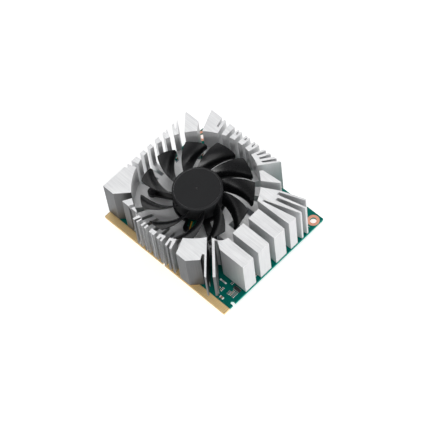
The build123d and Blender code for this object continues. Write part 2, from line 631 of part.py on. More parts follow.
def rotor_shaft():
    """Steel shaft fixed in the hub, with a groove for the retaining clip."""
    bottom = BASE_TOP + SHAFT_END_GAP
    shaft = disc(0, 0, bottom, SHAFT_RADIUS, YOKE_TOP - bottom)
    groove_z = BASE_TOP + CLIP_HEIGHT
    shaft -= ring(0, 0, groove_z, SHAFT_RADIUS + CUT, SHAFT_RADIUS - GROOVE_DEPTH, CLIP_THICKNESS)
    return FAN * shaft


def retaining_clip():
    """Split washer in the shaft's groove that keeps the rotor in its bearing."""
    z = BASE_TOP + CLIP_HEIGHT
    clip = ring(0, 0, z, CLIP_RADIUS, SHAFT_RADIUS - GROOVE_DEPTH, CLIP_THICKNESS)
    clip -= block(CLIP_RADIUS, 0, z - CUT, 2 * CLIP_RADIUS, CLIP_SLOT, CLIP_THICKNESS + 2 * CUT)
    return FAN * clip


def rotor_yoke():
    """Drawn steel cup inside the hub that closes the magnet's field."""
    depth = MAGNET_HEIGHT + YOKE_THICKNESS + YOKE_SKIRT
    cup = disc(0, 0, YOKE_TOP - depth, YOKE_RADIUS, depth)
    cup -= disc(0, 0, YOKE_TOP - depth - CUT, MAGNET_RADIUS, depth - YOKE_THICKNESS + CUT)
    return FAN * (cup - disc(0, 0, YOKE_TOP - depth, SHAFT_RADIUS, depth + CUT))


def rotor_magnet():
    """Ring magnet bonded into the cup."""
    z = MAGNET_TOP - MAGNET_HEIGHT
    return FAN * ring(0, 0, z, MAGNET_RADIUS, MAGNET_RADIUS - MAGNET_THICKNESS, MAGNET_HEIGHT)


def blade_value(root_value, tip_value, radius):
    """A value of the blade at a radius, straight from root to tip."""
    share = (radius - HUB_RADIUS) / (BLADE_TIP_RADIUS - HUB_RADIUS)
    return root_value + (tip_value - root_value) * share


def blade_section(radius):
    """Cambered section of a blade, square to the radius at its middle."""
    lead = blade_value(BLADE_ROOT_LEAD_ANGLE, BLADE_TIP_LEAD_ANGLE, radius)
    trail = blade_value(BLADE_ROOT_TRAIL_ANGLE, BLADE_TIP_TRAIL_ANGLE, radius)
    lead_z = HUB_TOP - blade_value(BLADE_ROOT_LEAD_DROP, BLADE_TIP_LEAD_DROP, radius)
    trail_z = HUB_TOP - blade_value(BLADE_ROOT_TRAIL_DROP, BLADE_TIP_TRAIL_DROP, radius)
    half = radius * tan(radians((lead - trail) / 2))
    slope = (lead_z - trail_z) / (2 * half)
    reach = half + BLADE_EDGE_MARGIN
    middle_z = (lead_z + trail_z) / 2 + BLADE_CAMBER
    ends = [(-reach, trail_z - slope * BLADE_EDGE_MARGIN), (reach, lead_z + slope * BLADE_EDGE_MARGIN / 2)]
    top = ThreePointArc(ends[0], (0, middle_z), ends[1])
    bottom = Pos(0, -BLADE_THICKNESS) * top
    sides = [Line(top @ end, bottom @ end) for end in (0, 1)]
    middle = radians((lead + trail) / 2)
    plane = Plane(
        origin=(radius * cos(middle), radius * sin(middle), 0),
        x_dir=(-sin(middle), cos(middle), 0),
        z_dir=(cos(middle), sin(middle), 0),
    )
    return plane * make_face([top, bottom, *sides])


def blade_planform():
    """A blade seen from above, with its two tip corners rounded."""
    def edge(root_angle, tip_angle):
        inner = HUB_RADIUS - HUB_WALL / 2
        radii = (inner, (inner + BLADE_TIP_RADIUS) / 2, BLADE_TIP_RADIUS)
        return [polar(r, blade_value(root_angle, tip_angle, r)) for r in radii]

    lead = edge(BLADE_ROOT_LEAD_ANGLE, BLADE_TIP_LEAD_ANGLE)
    trail = edge(BLADE_ROOT_TRAIL_ANGLE, BLADE_TIP_TRAIL_ANGLE)
    tip_middle = polar(BLADE_TIP_RADIUS, (BLADE_TIP_LEAD_ANGLE + BLADE_TIP_TRAIL_ANGLE) / 2)
    outline = [
        ThreePointArc(*lead), ThreePointArc(*trail),
        ThreePointArc(lead[-1], tip_middle, trail[-1]), Line(lead[0], trail[0]),
    ]
    face = make_face(outline)
    by_radius = sorted(face.vertices(), key=lambda v: hypot(v.X, v.Y))
    return fillet(by_radius[-2:], BLADE_TIP_CORNER_RADIUS)


def fan_blade():
    """One blade: a twisted, cambered sheet trimmed to the planform."""
    middle = (HUB_RADIUS + BLADE_TIP_RADIUS) / 2
    radii = (HUB_RADIUS - HUB_WALL, middle, BLADE_TIP_RADIUS + BLADE_TIP_MARGIN)
    sheet = loft([blade_section(radius) for radius in radii])
    trim = extrude(Pos(0, 0, FLOOR_Z) * blade_planform(), POCKET_DEPTH + CUT)
    return sheet & trim


def fan_rotor():
    """Moulded rotor: a shallow cup and its blades in one piece."""
    hub = disc(0, 0, HUB_BOTTOM, HUB_RADIUS, HUB_HEIGHT)
    hub = fillet(hub.edges().filter_by(GeomType.CIRCLE).sort_by(Axis.Z)[-1], HUB_EDGE_RADIUS)
    recess_z = HUB_TOP - CAP_RECESS_DEPTH
    hub -= disc(0, 0, recess_z, HUB_RADIUS - CAP_RIM_WIDTH, CUT)
    hub -= disc(0, 0, recess_z - GATE_MARK_DEPTH, GATE_MARK_RADIUS, CUT)
    blade = fan_blade()
    rotor = hub + [
        Rot(0, 0, BLADE_ZERO_ANGLE + index * 360 / BLADE_COUNT) * blade for index in range(BLADE_COUNT)
    ]
    rotor -= disc(0, 0, HUB_BOTTOM - CUT, YOKE_RADIUS, HUB_HEIGHT - HUB_CAP_THICKNESS + CUT)
    return FAN * rotor


def lead_x():
    """Middle of the last front slot, at the place where the leads go down it."""
    at_edge, at_core, _, _ = THROUGH_SLOTS["front"][-1]
    reached = (LEAD_DROP_Y + HALF_Y) / SLOT_REACH["front"]
    return (at_edge + (at_core - at_edge) * reached) * BOARD_LENGTH - HALF_X


def lead_angle():
    """Direction of the leads, from the fan's centre to the slot that they go down."""
    return degrees(atan2(LEAD_DROP_Y - FAN_Y, lead_x() - FAN_X))


def fan_lead(offset):
    """One insulated lead: out along the tab, then down the slot into the header."""
    angle = radians(lead_angle())
    side = Vector(-sin(angle), cos(angle), 0) * offset
    start_radius = HUB_RADIUS + LEAD_START_OUTSIDE_HUB
    start_z = DRIVER_TOP + LEAD_RADIUS
    start = Vector(FAN_X, FAN_Y, start_z) + Vector(cos(angle), sin(angle), 0) * start_radius + side
    corner = Vector(lead_x() + offset, LEAD_DROP_Y, start_z)
    end = Vector(corner.X, corner.Y, BOARD_TOP + HEADER_HEIGHT)
    path = FilletPolyline(start, corner, end, radius=LEAD_BEND_RADIUS)
    profile = Plane(origin=path @ 0, z_dir=path % 0) * Circle(LEAD_RADIUS)
    return sweep(profile, path=path)


def fan_header():
    """Small board connector that the leads go into from above."""
    return block(lead_x(), LEAD_DROP_Y, BOARD_TOP, HEADER_LENGTH, HEADER_DEPTH, HEADER_HEIGHT)


def board_parts(places, size, z=None):
    """Equal small parts on the board, one solid for each place."""
    level = BOARD_TOP if z is None else z
    return group(block(x, y, level, *size) for x, y in places)


def chip_rows(rows, counts):
    """Rows of small chips near the front right corner, stacked along Y."""
    places = []
    for (x, y), count in zip(rows, counts):
        places += [(x, y + (index - (count - 1) / 2) * CHIP_ROW_PITCH) for index in range(count)]
    return board_parts(from_corner(places, 1, -1), CHIP_SIZE)


def processor_parts(places, size, z=None):
    """Small parts placed from the processor's centre."""
    return board_parts([(PROCESSOR_X + x, PROCESSOR_Y + y) for x, y in places], size, z)


def all_parts():
    """Every node by name."""
    underside = BOARD_Z - BANK_CAPACITOR_SIZE[2]
    below = [(x, y) for x in UNDERSIDE_COLUMNS for y in UNDERSIDE_ROWS]
    near_left = from_corner(BANK_CAPACITORS, -1, 1)
    parts = {
        "circuit_board": circuit_board(),
        "edge_contacts_top": edge_contacts(BOARD_TOP),
        "edge_contacts_bottom": edge_contacts(BOARD_Z - COPPER_THICKNESS),
        "hole_rings": hole_rings(),
        "backplate": backplate(),
        "backplate_film": framed_plate(FILM_Z, FILM_THICKNESS),
        "sink_screws": sink_screws(),
        "processor_substrate": processor_substrate(),
        "processor_stiffener": processor_stiffener(),
        "processor_die": processor_die(),
        "thermal_paste": thermal_paste(),
        "memory_chips": memory_row(BOARD_TOP, MEMORY_THICKNESS),
        "memory_pads": memory_row(BOARD_TOP + MEMORY_THICKNESS, RECESS_TOP - BOARD_TOP - MEMORY_THICKNESS),
        "power_stages": processor_parts(POWER_STAGES, POWER_STAGE_SIZE),
        "inductors": processor_parts(INDUCTORS, INDUCTOR_SIZE),
        "controller_chip": board_parts(from_corner([CONTROLLER_AT], 1, -1), CONTROLLER_SIZE),
        "flash_chip": board_parts(from_corner([FLASH_AT], 1, -1), FLASH_SIZE),
        "crystal": board_parts(from_corner([CRYSTAL_AT], 1, -1), CRYSTAL_SIZE),
        "chip_resistors": chip_rows(RESISTOR_ROWS, RESISTOR_ROW_COUNTS),
        "chip_capacitors": chip_rows(CAPACITOR_ROWS, CAPACITOR_ROW_COUNTS),
        "bank_capacitors": board_parts(near_left, BANK_CAPACITOR_SIZE),
        "underside_capacitors": processor_parts(below, BANK_CAPACITOR_SIZE, underside),
        "heat_sink": heat_sink(),
        "fan_frame": fan_frame(),
        "fan_screws": fan_screws(),
        "bearing_tube": bearing_tube(),
        "sleeve_bearing": sleeve_bearing(),
        "stator_core": stator_core(),
        "stator_coils": stator_coils(),
        "driver_board": driver_board(),
        "driver_supports": driver_supports(),
        "fan_rotor": fan_rotor(),
        "rotor_yoke": rotor_yoke(),
        "rotor_magnet": rotor_magnet(),
        "rotor_shaft": rotor_shaft(),
        "retaining_clip": retaining_clip(),
        "fan_header": fan_header(),
    }
    for index in range(LEAD_COUNT):
        offset = (index - (LEAD_COUNT - 1) / 2) * LEAD_PITCH
        parts[f"fan_lead_{index + 1}"] = fan_lead(offset)
    return parts


os.makedirs("parts", exist_ok=True)
for name, shape in all_parts().items():
    export_step(shape, f"parts/{name}.step")
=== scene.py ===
import logging
import math
from collections.abc import Iterable, Sequence
from dataclasses import dataclass
from enum import Enum
from functools import cache, cached_property

import bmesh
import bpy
from mathutils import Matrix, Vector


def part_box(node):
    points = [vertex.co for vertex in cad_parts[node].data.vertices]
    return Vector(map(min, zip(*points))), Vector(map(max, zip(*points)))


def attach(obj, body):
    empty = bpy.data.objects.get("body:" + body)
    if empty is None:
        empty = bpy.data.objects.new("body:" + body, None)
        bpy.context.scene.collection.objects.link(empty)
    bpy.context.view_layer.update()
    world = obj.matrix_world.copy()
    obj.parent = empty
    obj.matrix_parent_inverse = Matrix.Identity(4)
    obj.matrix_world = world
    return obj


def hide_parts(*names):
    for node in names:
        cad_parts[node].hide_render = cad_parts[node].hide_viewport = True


# Looks of an accelerator module: an edge card under a slotted aluminium heat sink,
# with a slim open fan in the middle. Lengths are millimetres unless a docstring says
# metres, and MM turns them into metres.

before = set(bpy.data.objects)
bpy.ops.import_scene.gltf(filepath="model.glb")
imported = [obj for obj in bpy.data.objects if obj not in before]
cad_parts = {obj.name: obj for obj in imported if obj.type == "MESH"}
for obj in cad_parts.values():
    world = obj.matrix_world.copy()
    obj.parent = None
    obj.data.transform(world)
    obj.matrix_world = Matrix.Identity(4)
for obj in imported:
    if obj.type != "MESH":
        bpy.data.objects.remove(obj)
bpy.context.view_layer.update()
LOG = logging.getLogger("accelerator_module")
MM = 0.001
CARD_BODY = "card"
ROTOR_BODY = "rotor"
WELD_DISTANCE = 0.0005
DISSOLVE_DISTANCE = 0.0002

Colour = tuple[float, float, float]
Direction = tuple[float, float, float]
Point = tuple[float, float]
Span = tuple[float, float]

# Most of a noise lies in this span.
NOISE_SPAN: Span = (0.35, 0.65)
MID_TONE = 0.5
BLACK: Colour = (0.0, 0.0, 0.0)


def board_top() -> float:
    """Height of the card's upper face, in metres."""
    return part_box("circuit_board")[1].z


def shaded(colour: Colour, share: float) -> Colour:
    """A colour made darker to a share of itself."""
    return tuple(share * part for part in colour)


class Axis(Enum):
    """Direction that a machined surface's fine lines follow, as the scale of their noise."""

    ALONG_X = (0.03, 1.0, 1.0)
    ALONG_Z = (1.0, 1.0, 0.03)


class Socket(Enum):
    """Kind of a node group's socket."""

    NUMBER = "NodeSocketFloat"
    DIRECTION = "NodeSocketVector"


class Graph:
    """A shader node tree that is wired up step by step."""

    def __init__(self, tree: bpy.types.NodeTree) -> None:
        """Takes an empty node tree.

        Args:
            tree: the material's, group's or world's tree.
        """
        self.tree = tree

    def add(self, kind: str, **settings: object) -> bpy.types.Node:
        """Adds a node.

        Args:
            kind: the node's type name.
            settings: properties of the node by name.

        Returns:
            The new node.
        """
        node = self.tree.nodes.new(kind)
        for name, value in settings.items():
            setattr(node, name, value)
        return node

    def use(self, group: bpy.types.NodeTree, **values: float) -> bpy.types.bpy_prop_collection:
        """Places a shared effect.

        Args:
            group: the effect's node group.
            values: the group's input values by name.

        Returns:
            The effect's outputs.
        """
        node = self.add("ShaderNodeGroup", node_tree=group)
        for name, value in values.items():
            node.inputs[name].default_value = value
        return node.outputs

    def feed(self, target: bpy.types.NodeSocket, value: object) -> None:
        """Links a socket to a socket, or sets it to a plain value.

        Args:
            target: the socket that is fed.
            value: a socket, number, vector or colour with alpha.
        """
        if isinstance(value, bpy.types.NodeSocket):
            self.tree.links.new(value, target)
        else:
            target.default_value = value

    def feed_all(self, targets: Iterable[bpy.types.NodeSocket], values: Iterable[object]) -> None:
        """Feeds sockets in order, each with its own value."""
        for target, value in zip(targets, values):
            self.feed(target, value)

    def math(self, operation: str, *values: object, clamp: bool = False) -> bpy.types.NodeSocket:
        """Works out a number.

        Args:
            operation: the Math node's operation.
            values: numbers or sockets, in order.
            clamp: whether the result is kept between 0 and 1.

        Returns:
            The result's socket.
        """
        node = self.add("ShaderNodeMath", operation=operation, use_clamp=clamp)
        self.feed_all(node.inputs, values)
        return node.outputs[0]

    def dot(self, first: object, second: object) -> bpy.types.NodeSocket:
        """How far two directions agree, from -1 to 1.

        Args:
            first: direction or socket.
            second: direction or socket.

        Returns:
            The result's socket.
        """
        node = self.add("ShaderNodeVectorMath", operation="DOT_PRODUCT")
        self.feed_all(node.inputs, (first, second))
        return node.outputs["Value"]

    def split(self, vector: bpy.types.NodeSocket) -> bpy.types.bpy_prop_collection:
        """A vector's X, Y and Z.

        Args:
            vector: the vector's socket.

        Returns:
            The three outputs by name.
        """
        node = self.add("ShaderNodeSeparateXYZ")
        self.feed(node.inputs[0], vector)
        return node.outputs

    def normal(self) -> bpy.types.NodeSocket:
        """The surface's normal."""
        return self.add("ShaderNodeNewGeometry").outputs["Normal"]

    def remap(
        self, value: object, low: float, high: float, to_low: float = 0.0, to_high: float = 1.0
    ) -> bpy.types.NodeSocket:
        """Stretches a range of a value to another range and clamps it.

        Args:
            value: the value's socket.
            low: start of the range that counts.
            high: end of the range that counts.
            to_low: result at the start.
            to_high: result at the end.

        Returns:
            The stretched value's socket.
        """
        node = self.add("ShaderNodeMapRange", clamp=True)
        self.feed_all(node.inputs, (value, low, high, to_low, to_high))
        return node.outputs[0]

    def blend(self, share: object, first: object, second: object) -> bpy.types.NodeSocket:
        """Blends two numbers.

        Args:
            share: how much of the second number counts.
            first: number or socket.
            second: number or socket.

        Returns:
            The blended number's socket.
        """
        node = self.add("ShaderNodeMix", data_type="FLOAT")
        self.feed_all((s for s in node.inputs if s.type == "VALUE"), (share, first, second))
        return node.outputs[0]

    def mix(self, share: object, first: object, second: object) -> bpy.types.NodeSocket:
        """Mixes two colours.

        Args:
            share: how much of the second colour shows.
            first: colour or socket.
            second: colour or socket.

        Returns:
            The mixed colour's socket.
        """
        node = self.add("ShaderNodeMix", data_type="RGBA")
        self.feed(node.inputs["Factor"], share)
        colours = [c if isinstance(c, bpy.types.NodeSocket) else (*c, 1.0) for c in (first, second)]
        self.feed_all((s for s in node.inputs if s.type == "RGBA"), colours)
        return next(s for s in node.outputs if s.type == "RGBA")

    def place(self, scale: Sequence[float] = (1.0, 1.0, 1.0)) -> bpy.types.NodeSocket:
        """Object coordinates in millimetres, stretched along the axes.

        Args:
            scale: factor along each axis after the change to millimetres.

        Returns:
            The vector's socket.
        """
        mapping = self.add("ShaderNodeMapping")
        mapping.inputs["Scale"].default_value = [s / MM for s in scale]
        self.feed(mapping.inputs["Vector"], self.add("ShaderNodeTexCoord").outputs["Object"])
        return mapping.outputs[0]

    def noise(self, vector: object, scale: object, detail: float = 3.0) -> bpy.types.NodeSocket:
        """Noise with values from about 0.3 to 0.7.

        Args:
            vector: where the noise is read.
            scale: how many features there are in a unit.
            detail: how many finer layers are added.

        Returns:
            The noise value's socket.
        """
        node = self.add("ShaderNodeTexNoise")
        self.feed(node.inputs["Vector"], vector)
        self.feed(node.inputs["Scale"], scale)
        node.inputs["Detail"].default_value = detail
        return node.outputs[0]

    def bump(self, height: object, strength: float, distance: float, normal: object) -> bpy.types.NodeSocket:
        """Turns a height into a normal.

        Args:
            height: the height's socket.
            strength: how much of the bump shows.
            distance: depth of the full height.
            normal: normal that the bump starts from.

        Returns:
            The normal's socket.
        """
        node = self.add("ShaderNodeBump")
        node.inputs["Strength"].default_value = strength
        node.inputs["Distance"].default_value = distance * MM
        self.feed(node.inputs["Height"], height)
        self.feed(node.inputs["Normal"], normal)
        return node.outputs[0]


def new_group(
    name: str, inputs: dict[str, Socket], outputs: dict[str, Socket]
) -> tuple[Graph, bpy.types.bpy_prop_collection, bpy.types.bpy_prop_collection]:
    """Starts a node group with its sockets.

    Args:
        name: the group's name.
        inputs: kind of each input by name.
        outputs: kind of each output by name.

    Returns:
        The group's graph, its given values and the sockets that take its results.
    """
    tree = bpy.data.node_groups.new(name, "ShaderNodeTree")
    for side, sockets in (("INPUT", inputs), ("OUTPUT", outputs)):
        for socket_name, kind in sockets.items():
            tree.interface.new_socket(socket_name, in_out=side, socket_type=kind.value)
    graph = Graph(tree)
    return graph, graph.add("NodeGroupInput").outputs, graph.add("NodeGroupOutput").inputs


def new_material(name: str) -> tuple[bpy.types.Material, Graph, bpy.types.Node]:
    """Starts a material.

    Args:
        name: the material's name.

    Returns:
        The material, its graph and its Principled shader.
    """
    material = bpy.data.materials.new(name)
    material.use_nodes = True
    graph = Graph(material.node_tree)
    shader = next(n for n in material.node_tree.nodes if n.type == "BSDF_PRINCIPLED")
    return material, graph, shader


@dataclass
class SharedEffects:
    """Node groups that several finishes use, each built on its first use."""

    bevel_samples: int = 4
    edge_span: Span = (0.995, 0.86)
    level_span: Span = (0.6, 0.8)
    line_detail: float = 4.0
    grain_detail: float = 2.0
    patch_scale: float = 0.14
    upward_span: Span = (0.3, 0.95)
    speck_scale: float = 5.0
    speck_detail: float = 5.0
    speck_span: Span = (0.6, 0.72)

    @cached_property
    def soft_edges(self) -> bpy.types.NodeTree:
        """Rounds the look of edges and gives a mask of them.

        Returns:
            The group, whose radius is in metres.
        """
        graph, given, result = new_group(
            "soft_edges", {"Radius": Socket.NUMBER}, {"Normal": Socket.DIRECTION, "Edge": Socket.NUMBER}
        )
        bevel = graph.add("ShaderNodeBevel", samples=self.bevel_samples)
        graph.feed(bevel.inputs["Radius"], given["Radius"])
        rounded = bevel.outputs[0]
        graph.feed(result["Normal"], rounded)
        graph.feed(result["Edge"], graph.remap(graph.dot(rounded, graph.normal()), *self.edge_span))
        return graph.tree

    @cached_property
    def fine_lines(self) -> bpy.types.NodeTree:
        """Fine machining lines: along X on level faces and up and down on walls.

        Returns:
            The group, with a height and a mask of the level faces.
        """
        graph, given, result = new_group(
            "fine_lines", {"Scale": Socket.NUMBER}, {"Height": Socket.NUMBER, "Level": Socket.NUMBER}
        )
        upward = graph.math("ABSOLUTE", graph.split(graph.normal())["Z"])
        level = graph.remap(upward, *self.level_span)
        on_walls, on_level = (
            graph.noise(graph.place(axis.value), given["Scale"], self.line_detail)
            for axis in (Axis.ALONG_Z, Axis.ALONG_X)
        )
        graph.feed(result["Height"], graph.blend(level, on_walls, on_level))
        graph.feed(result["Level"], level)
        return graph.tree

    @cached_property
    def grain(self) -> bpy.types.NodeTree:
        """Fine even grain of a moulded or blasted surface, with soft patches.

        Returns:
            The group, with a height and a mask of the patches.
        """
        graph, given, result = new_group(
            "grain", {"Scale": Socket.NUMBER}, {"Height": Socket.NUMBER, "Patches": Socket.NUMBER}
        )
        graph.feed(result["Height"], graph.noise(graph.place(), given["Scale"], self.grain_detail))
        patches = graph.noise(graph.place(), self.patch_scale)
        graph.feed(result["Patches"], graph.remap(patches, *NOISE_SPAN))
        return graph.tree

    @cached_property
    def dust(self) -> bpy.types.NodeTree:
        """Thin specks of dust that settle on faces that look up.

        Returns:
            The group, with a mask of the dust.
        """
        graph, given, result = new_group("dust", {"Amount": Socket.NUMBER}, {"Mask": Socket.NUMBER})
        upward = graph.remap(graph.split(graph.normal())["Z"], *self.upward_span)
        specks = graph.noise(graph.place(), self.speck_scale, self.speck_detail)
        mask = graph.math("MULTIPLY", upward, graph.remap(specks, *self.speck_span))
        graph.feed(result["Mask"], graph.math("MULTIPLY", mask, given["Amount"]))
        return graph.tree

    @cached_property
    def walls(self) -> bpy.types.NodeTree:
        """Masks of the faces that look along X and along Y, for painted shade on walls.

        Returns:
            The group, whose power narrows both masks.
        """
        graph, given, result = new_group(
            "walls", {"Power": Socket.NUMBER}, {"AlongX": Socket.NUMBER, "AlongY": Socket.NUMBER}
        )
        normal = graph.split(graph.normal())
        for axis in "XY":
            size = graph.math("ABSOLUTE", normal[axis])
            graph.feed(result[f"Along{axis}"], graph.math("POWER", size, given["Power"], clamp=True))
        return graph.tree


EFFECTS = SharedEffects()


@dataclass(frozen=True)
class MetalFinish:
    """Machined, stamped or plated metal."""

    name: str
    colour: Colour
    shade: Colour
    roughness: float
    roughness_spread: float = 0.08
    line_scale: float = 9.0
    line_depth: float = 0.004
    line_share: float = 0.75
    grain_scale: float = 14.0
    grain_height: float = 0.4
    bump: float = 0.5
    edge_radius: float = 0.08
    edge_colour: Colour | None = None
    edge_wear_and_highlight: float = 0.6
    metallic: float = 1.0
    wall_contrast: float = 0.45
    wall_power: float = 1.6
    # Shares of painted shade on faces that look along X and along Y.
    painted_shade_along_x: float = 0.0
    painted_shade_along_y: float = 0.0

    def build(self) -> bpy.types.Material:
        """Builds the material.

        Returns:
            The material.
        """
        material, graph, shader = new_material(self.name)
        shader.inputs["Metallic"].default_value = self.metallic
        edges = graph.use(EFFECTS.soft_edges, Radius=self.edge_radius * MM)
        lines = graph.use(EFFECTS.fine_lines, Scale=self.line_scale)
        grain = graph.use(EFFECTS.grain, Scale=self.grain_scale)
        tone = self.tone(graph, lines, grain["Patches"])
        colour = self.paint_wall_shade(graph, graph.mix(tone, self.shade, self.colour))
        wear_and_highlight = graph.math("MULTIPLY", edges["Edge"], self.edge_wear_and_highlight)
        colour = graph.mix(wear_and_highlight, colour, self.edge_colour or self.colour)
        graph.feed(shader.inputs["Base Color"], colour)
        low, high = self.roughness - self.roughness_spread, self.roughness + self.roughness_spread
        graph.feed(shader.inputs["Roughness"], graph.remap(tone, 1.0, 0.0, low, high))
        height = graph.math("MULTIPLY_ADD", grain["Height"], self.grain_height, lines["Height"])
        normal = graph.bump(height, self.bump, self.line_depth, edges["Normal"])
        graph.feed(shader.inputs["Normal"], normal)
        return material

    def tone(
        self, graph: Graph, lines: bpy.types.bpy_prop_collection, patches: bpy.types.NodeSocket
    ) -> bpy.types.NodeSocket:
        """How light the metal is, with less contrast on walls than on level faces.

        Args:
            graph: the material's graph.
            lines: outputs of the fine lines.
            patches: mask of the patches.

        Returns:
            The tone's socket, from 0 for the shade to 1 for the colour.
        """
        patches = graph.math("MULTIPLY", patches, 1.0 - self.line_share)
        tone = graph.math("MULTIPLY_ADD", graph.remap(lines["Height"], *NOISE_SPAN), self.line_share, patches)
        contrast = graph.remap(lines["Level"], 0.0, 1.0, self.wall_contrast, 1.0)
        return graph.math("MULTIPLY_ADD", graph.math("SUBTRACT", tone, MID_TONE), contrast, MID_TONE)

    def paint_wall_shade(self, graph: Graph, colour: bpy.types.NodeSocket) -> bpy.types.NodeSocket:
        """Paints shade on the faces that look along X and along Y, where the finish says so.

        Args:
            graph: the material's graph.
            colour: the colour's socket.

        Returns:
            The new colour's socket.
        """
        if not (self.painted_shade_along_x or self.painted_shade_along_y):
            return colour
        walls = graph.use(EFFECTS.walls, Power=self.wall_power)
        along_x = graph.math("MULTIPLY", walls["AlongX"], self.painted_shade_along_x)
        share = graph.math("MULTIPLY_ADD", walls["AlongY"], self.painted_shade_along_y, along_x)
        return graph.mix(share, colour, BLACK)


@dataclass(frozen=True)
class MouldedFinish:
    """Moulded plastic, ceramic or rubber with a fine grain."""

    name: str
    colour: Colour
    # Colour mixed in at edges: wear on most parts, a painted highlight on the fan's cap.
    worn_and_highlight_colour: Colour
    roughness: float
    roughness_shares: Span = (0.85, 1.2)
    grain_scale: float = 6.0
    grain_depth: float = 0.012
    grain_span: Span = (0.3, 0.7)
    patch_share: float = 0.35
    patch_shade: float = 0.75
    bump: float = 0.5
    edge_radius: float = 0.1
    edge_wear_and_highlight: float = 0.5
    wear_and_highlight_span: Span = (0.4, 0.7)
    dust_amount: float = 0.25
    dust_colour: Colour = (0.32, 0.32, 0.32)
    specular: float = 0.5

    def build(self) -> bpy.types.Material:
        """Builds the material.

        Returns:
            The material.
        """
        material, graph, shader = new_material(self.name)
        shader.inputs["Specular IOR Level"].default_value = self.specular
        edges = graph.use(EFFECTS.soft_edges, Radius=self.edge_radius * MM)
        grain = graph.use(EFFECTS.grain, Scale=self.grain_scale)
        dust = graph.use(EFFECTS.dust, Amount=self.dust_amount)
        wear_and_highlight = graph.math("MULTIPLY", edges["Edge"], graph.remap(grain["Height"], *self.wear_and_highlight_span))
        colour = graph.mix(graph.math("MULTIPLY", wear_and_highlight, self.edge_wear_and_highlight), self.colour, self.worn_and_highlight_colour)
        patches = graph.math("MULTIPLY", grain["Patches"], self.patch_share)
        colour = graph.mix(patches, colour, shaded(self.colour, self.patch_shade))
        graph.feed(shader.inputs["Base Color"], graph.mix(dust["Mask"], colour, self.dust_colour))
        low, high = (min(1.0, self.roughness * share) for share in self.roughness_shares)
        graph.feed(shader.inputs["Roughness"], graph.remap(grain["Height"], *self.grain_span, low, high))
        normal = graph.bump(grain["Height"], self.bump, self.grain_depth, edges["Normal"])
        graph.feed(shader.inputs["Normal"], normal)
        return material


@dataclass(frozen=True)
class ResistFinish:
    """Solder resist over buried tracks, which may leave bare laminate along the front."""

    name: str
    colour: Colour
    track_colour: Colour
    edge_colour: Colour
    bare_colour: Colour | None = None
    bare_below: float = 0.0
    roughness: float = 0.4
    roughness_changes: Span = (-0.06, 0.1)
    specular: float = 0.06
    field_scale: float = 0.28
    empty_share: float = 0.35
    track_pitch: float = 0.55
    track_half: float = 0.2
    track_strength: float = 0.8
    weave_scale: float = 3.0
    weave_span: Span = (0.4, 0.6)
    weave_share: float = 0.35
    weave_shade: float = 0.8
    weave_height: float = 0.25
    level_above: float = 0.7
    relief: float = 0.03
    bump: float = 0.6
    edge_radius: float = 0.06

    def build(self) -> bpy.types.Material:
        """Builds the material.

        Returns:
            The material.
        """
        material, graph, shader = new_material(self.name)
        shader.inputs["Specular IOR Level"].default_value = self.specular
        place = graph.split(graph.place())
        upward = graph.math("ABSOLUTE", graph.split(graph.normal())["Z"])
        level = graph.math("GREATER_THAN", upward, self.level_above)
        tracks = graph.math("MULTIPLY", self.tracks(graph, place), level)
        weave = graph.noise(graph.place(), self.weave_scale)
        share = graph.remap(weave, *self.weave_span, 0.0, self.weave_share)
        colour = graph.mix(share, self.colour, shaded(self.colour, self.weave_shade))
        colour = graph.mix(graph.math("MULTIPLY", tracks, self.track_strength), colour, self.track_colour)
        colour = graph.mix(graph.math("SUBTRACT", 1.0, level), colour, self.edge_colour)
        if self.bare_colour:
            bare = graph.math("LESS_THAN", place["Y"], self.bare_below)
            colour = graph.mix(bare, colour, self.bare_colour)
        graph.feed(shader.inputs["Base Color"], colour)
        low, high = (self.roughness + change for change in self.roughness_changes)
        graph.feed(shader.inputs["Roughness"], graph.remap(weave, *NOISE_SPAN, low, high))
        edges = graph.use(EFFECTS.soft_edges, Radius=self.edge_radius * MM)
        height = graph.math("MULTIPLY_ADD", weave, self.weave_height, tracks)
        graph.feed(shader.inputs["Normal"], graph.bump(height, self.bump, self.relief, edges["Normal"]))
        return material

    def tracks(self, graph: Graph, place: bpy.types.bpy_prop_collection) -> bpy.types.NodeSocket:
        """Mask of parallel tracks that run along X or Y by turns, from field to field.

        Args:
            graph: the material's graph.
            place: X, Y and Z of the place.

        Returns:
            The mask's socket.
        """
        fields = graph.add("ShaderNodeTexVoronoi", distance="CHEBYCHEV", feature="F1")
        fields.inputs["Scale"].default_value = self.field_scale
        graph.feed(fields.inputs["Vector"], graph.place())
        chance = graph.add("ShaderNodeSeparateColor")
        graph.feed(chance.inputs[0], fields.outputs["Color"])
        turned = graph.math("GREATER_THAN", chance.outputs[0], 0.5)
        way = graph.blend(turned, place["X"], place["Y"])
        wave = graph.math("FRACT", graph.math("DIVIDE", way, self.track_pitch))
        from_middle = graph.math("ABSOLUTE", graph.math("SUBTRACT", wave, 0.5))
        lines = graph.math("LESS_THAN", from_middle, self.track_half)
        present = graph.math("GREATER_THAN", chance.outputs[1], self.empty_share)
        return graph.math("MULTIPLY", lines, present)


Finish = MetalFinish | MouldedFinish | ResistFinish

# Heat sink, plates and screws
# The milled aluminium's faces that look along X and along Y carry painted shade.
ALUMINIUM = MetalFinish(
    "milled_aluminium", (0.87, 0.875, 0.88), (0.74, 0.745, 0.755), 0.4,
    line_scale=2.4, edge_colour=(0.93, 0.93, 0.93), metallic=0.68, painted_shade_along_x=0.25, painted_shade_along_y=0.03,
)
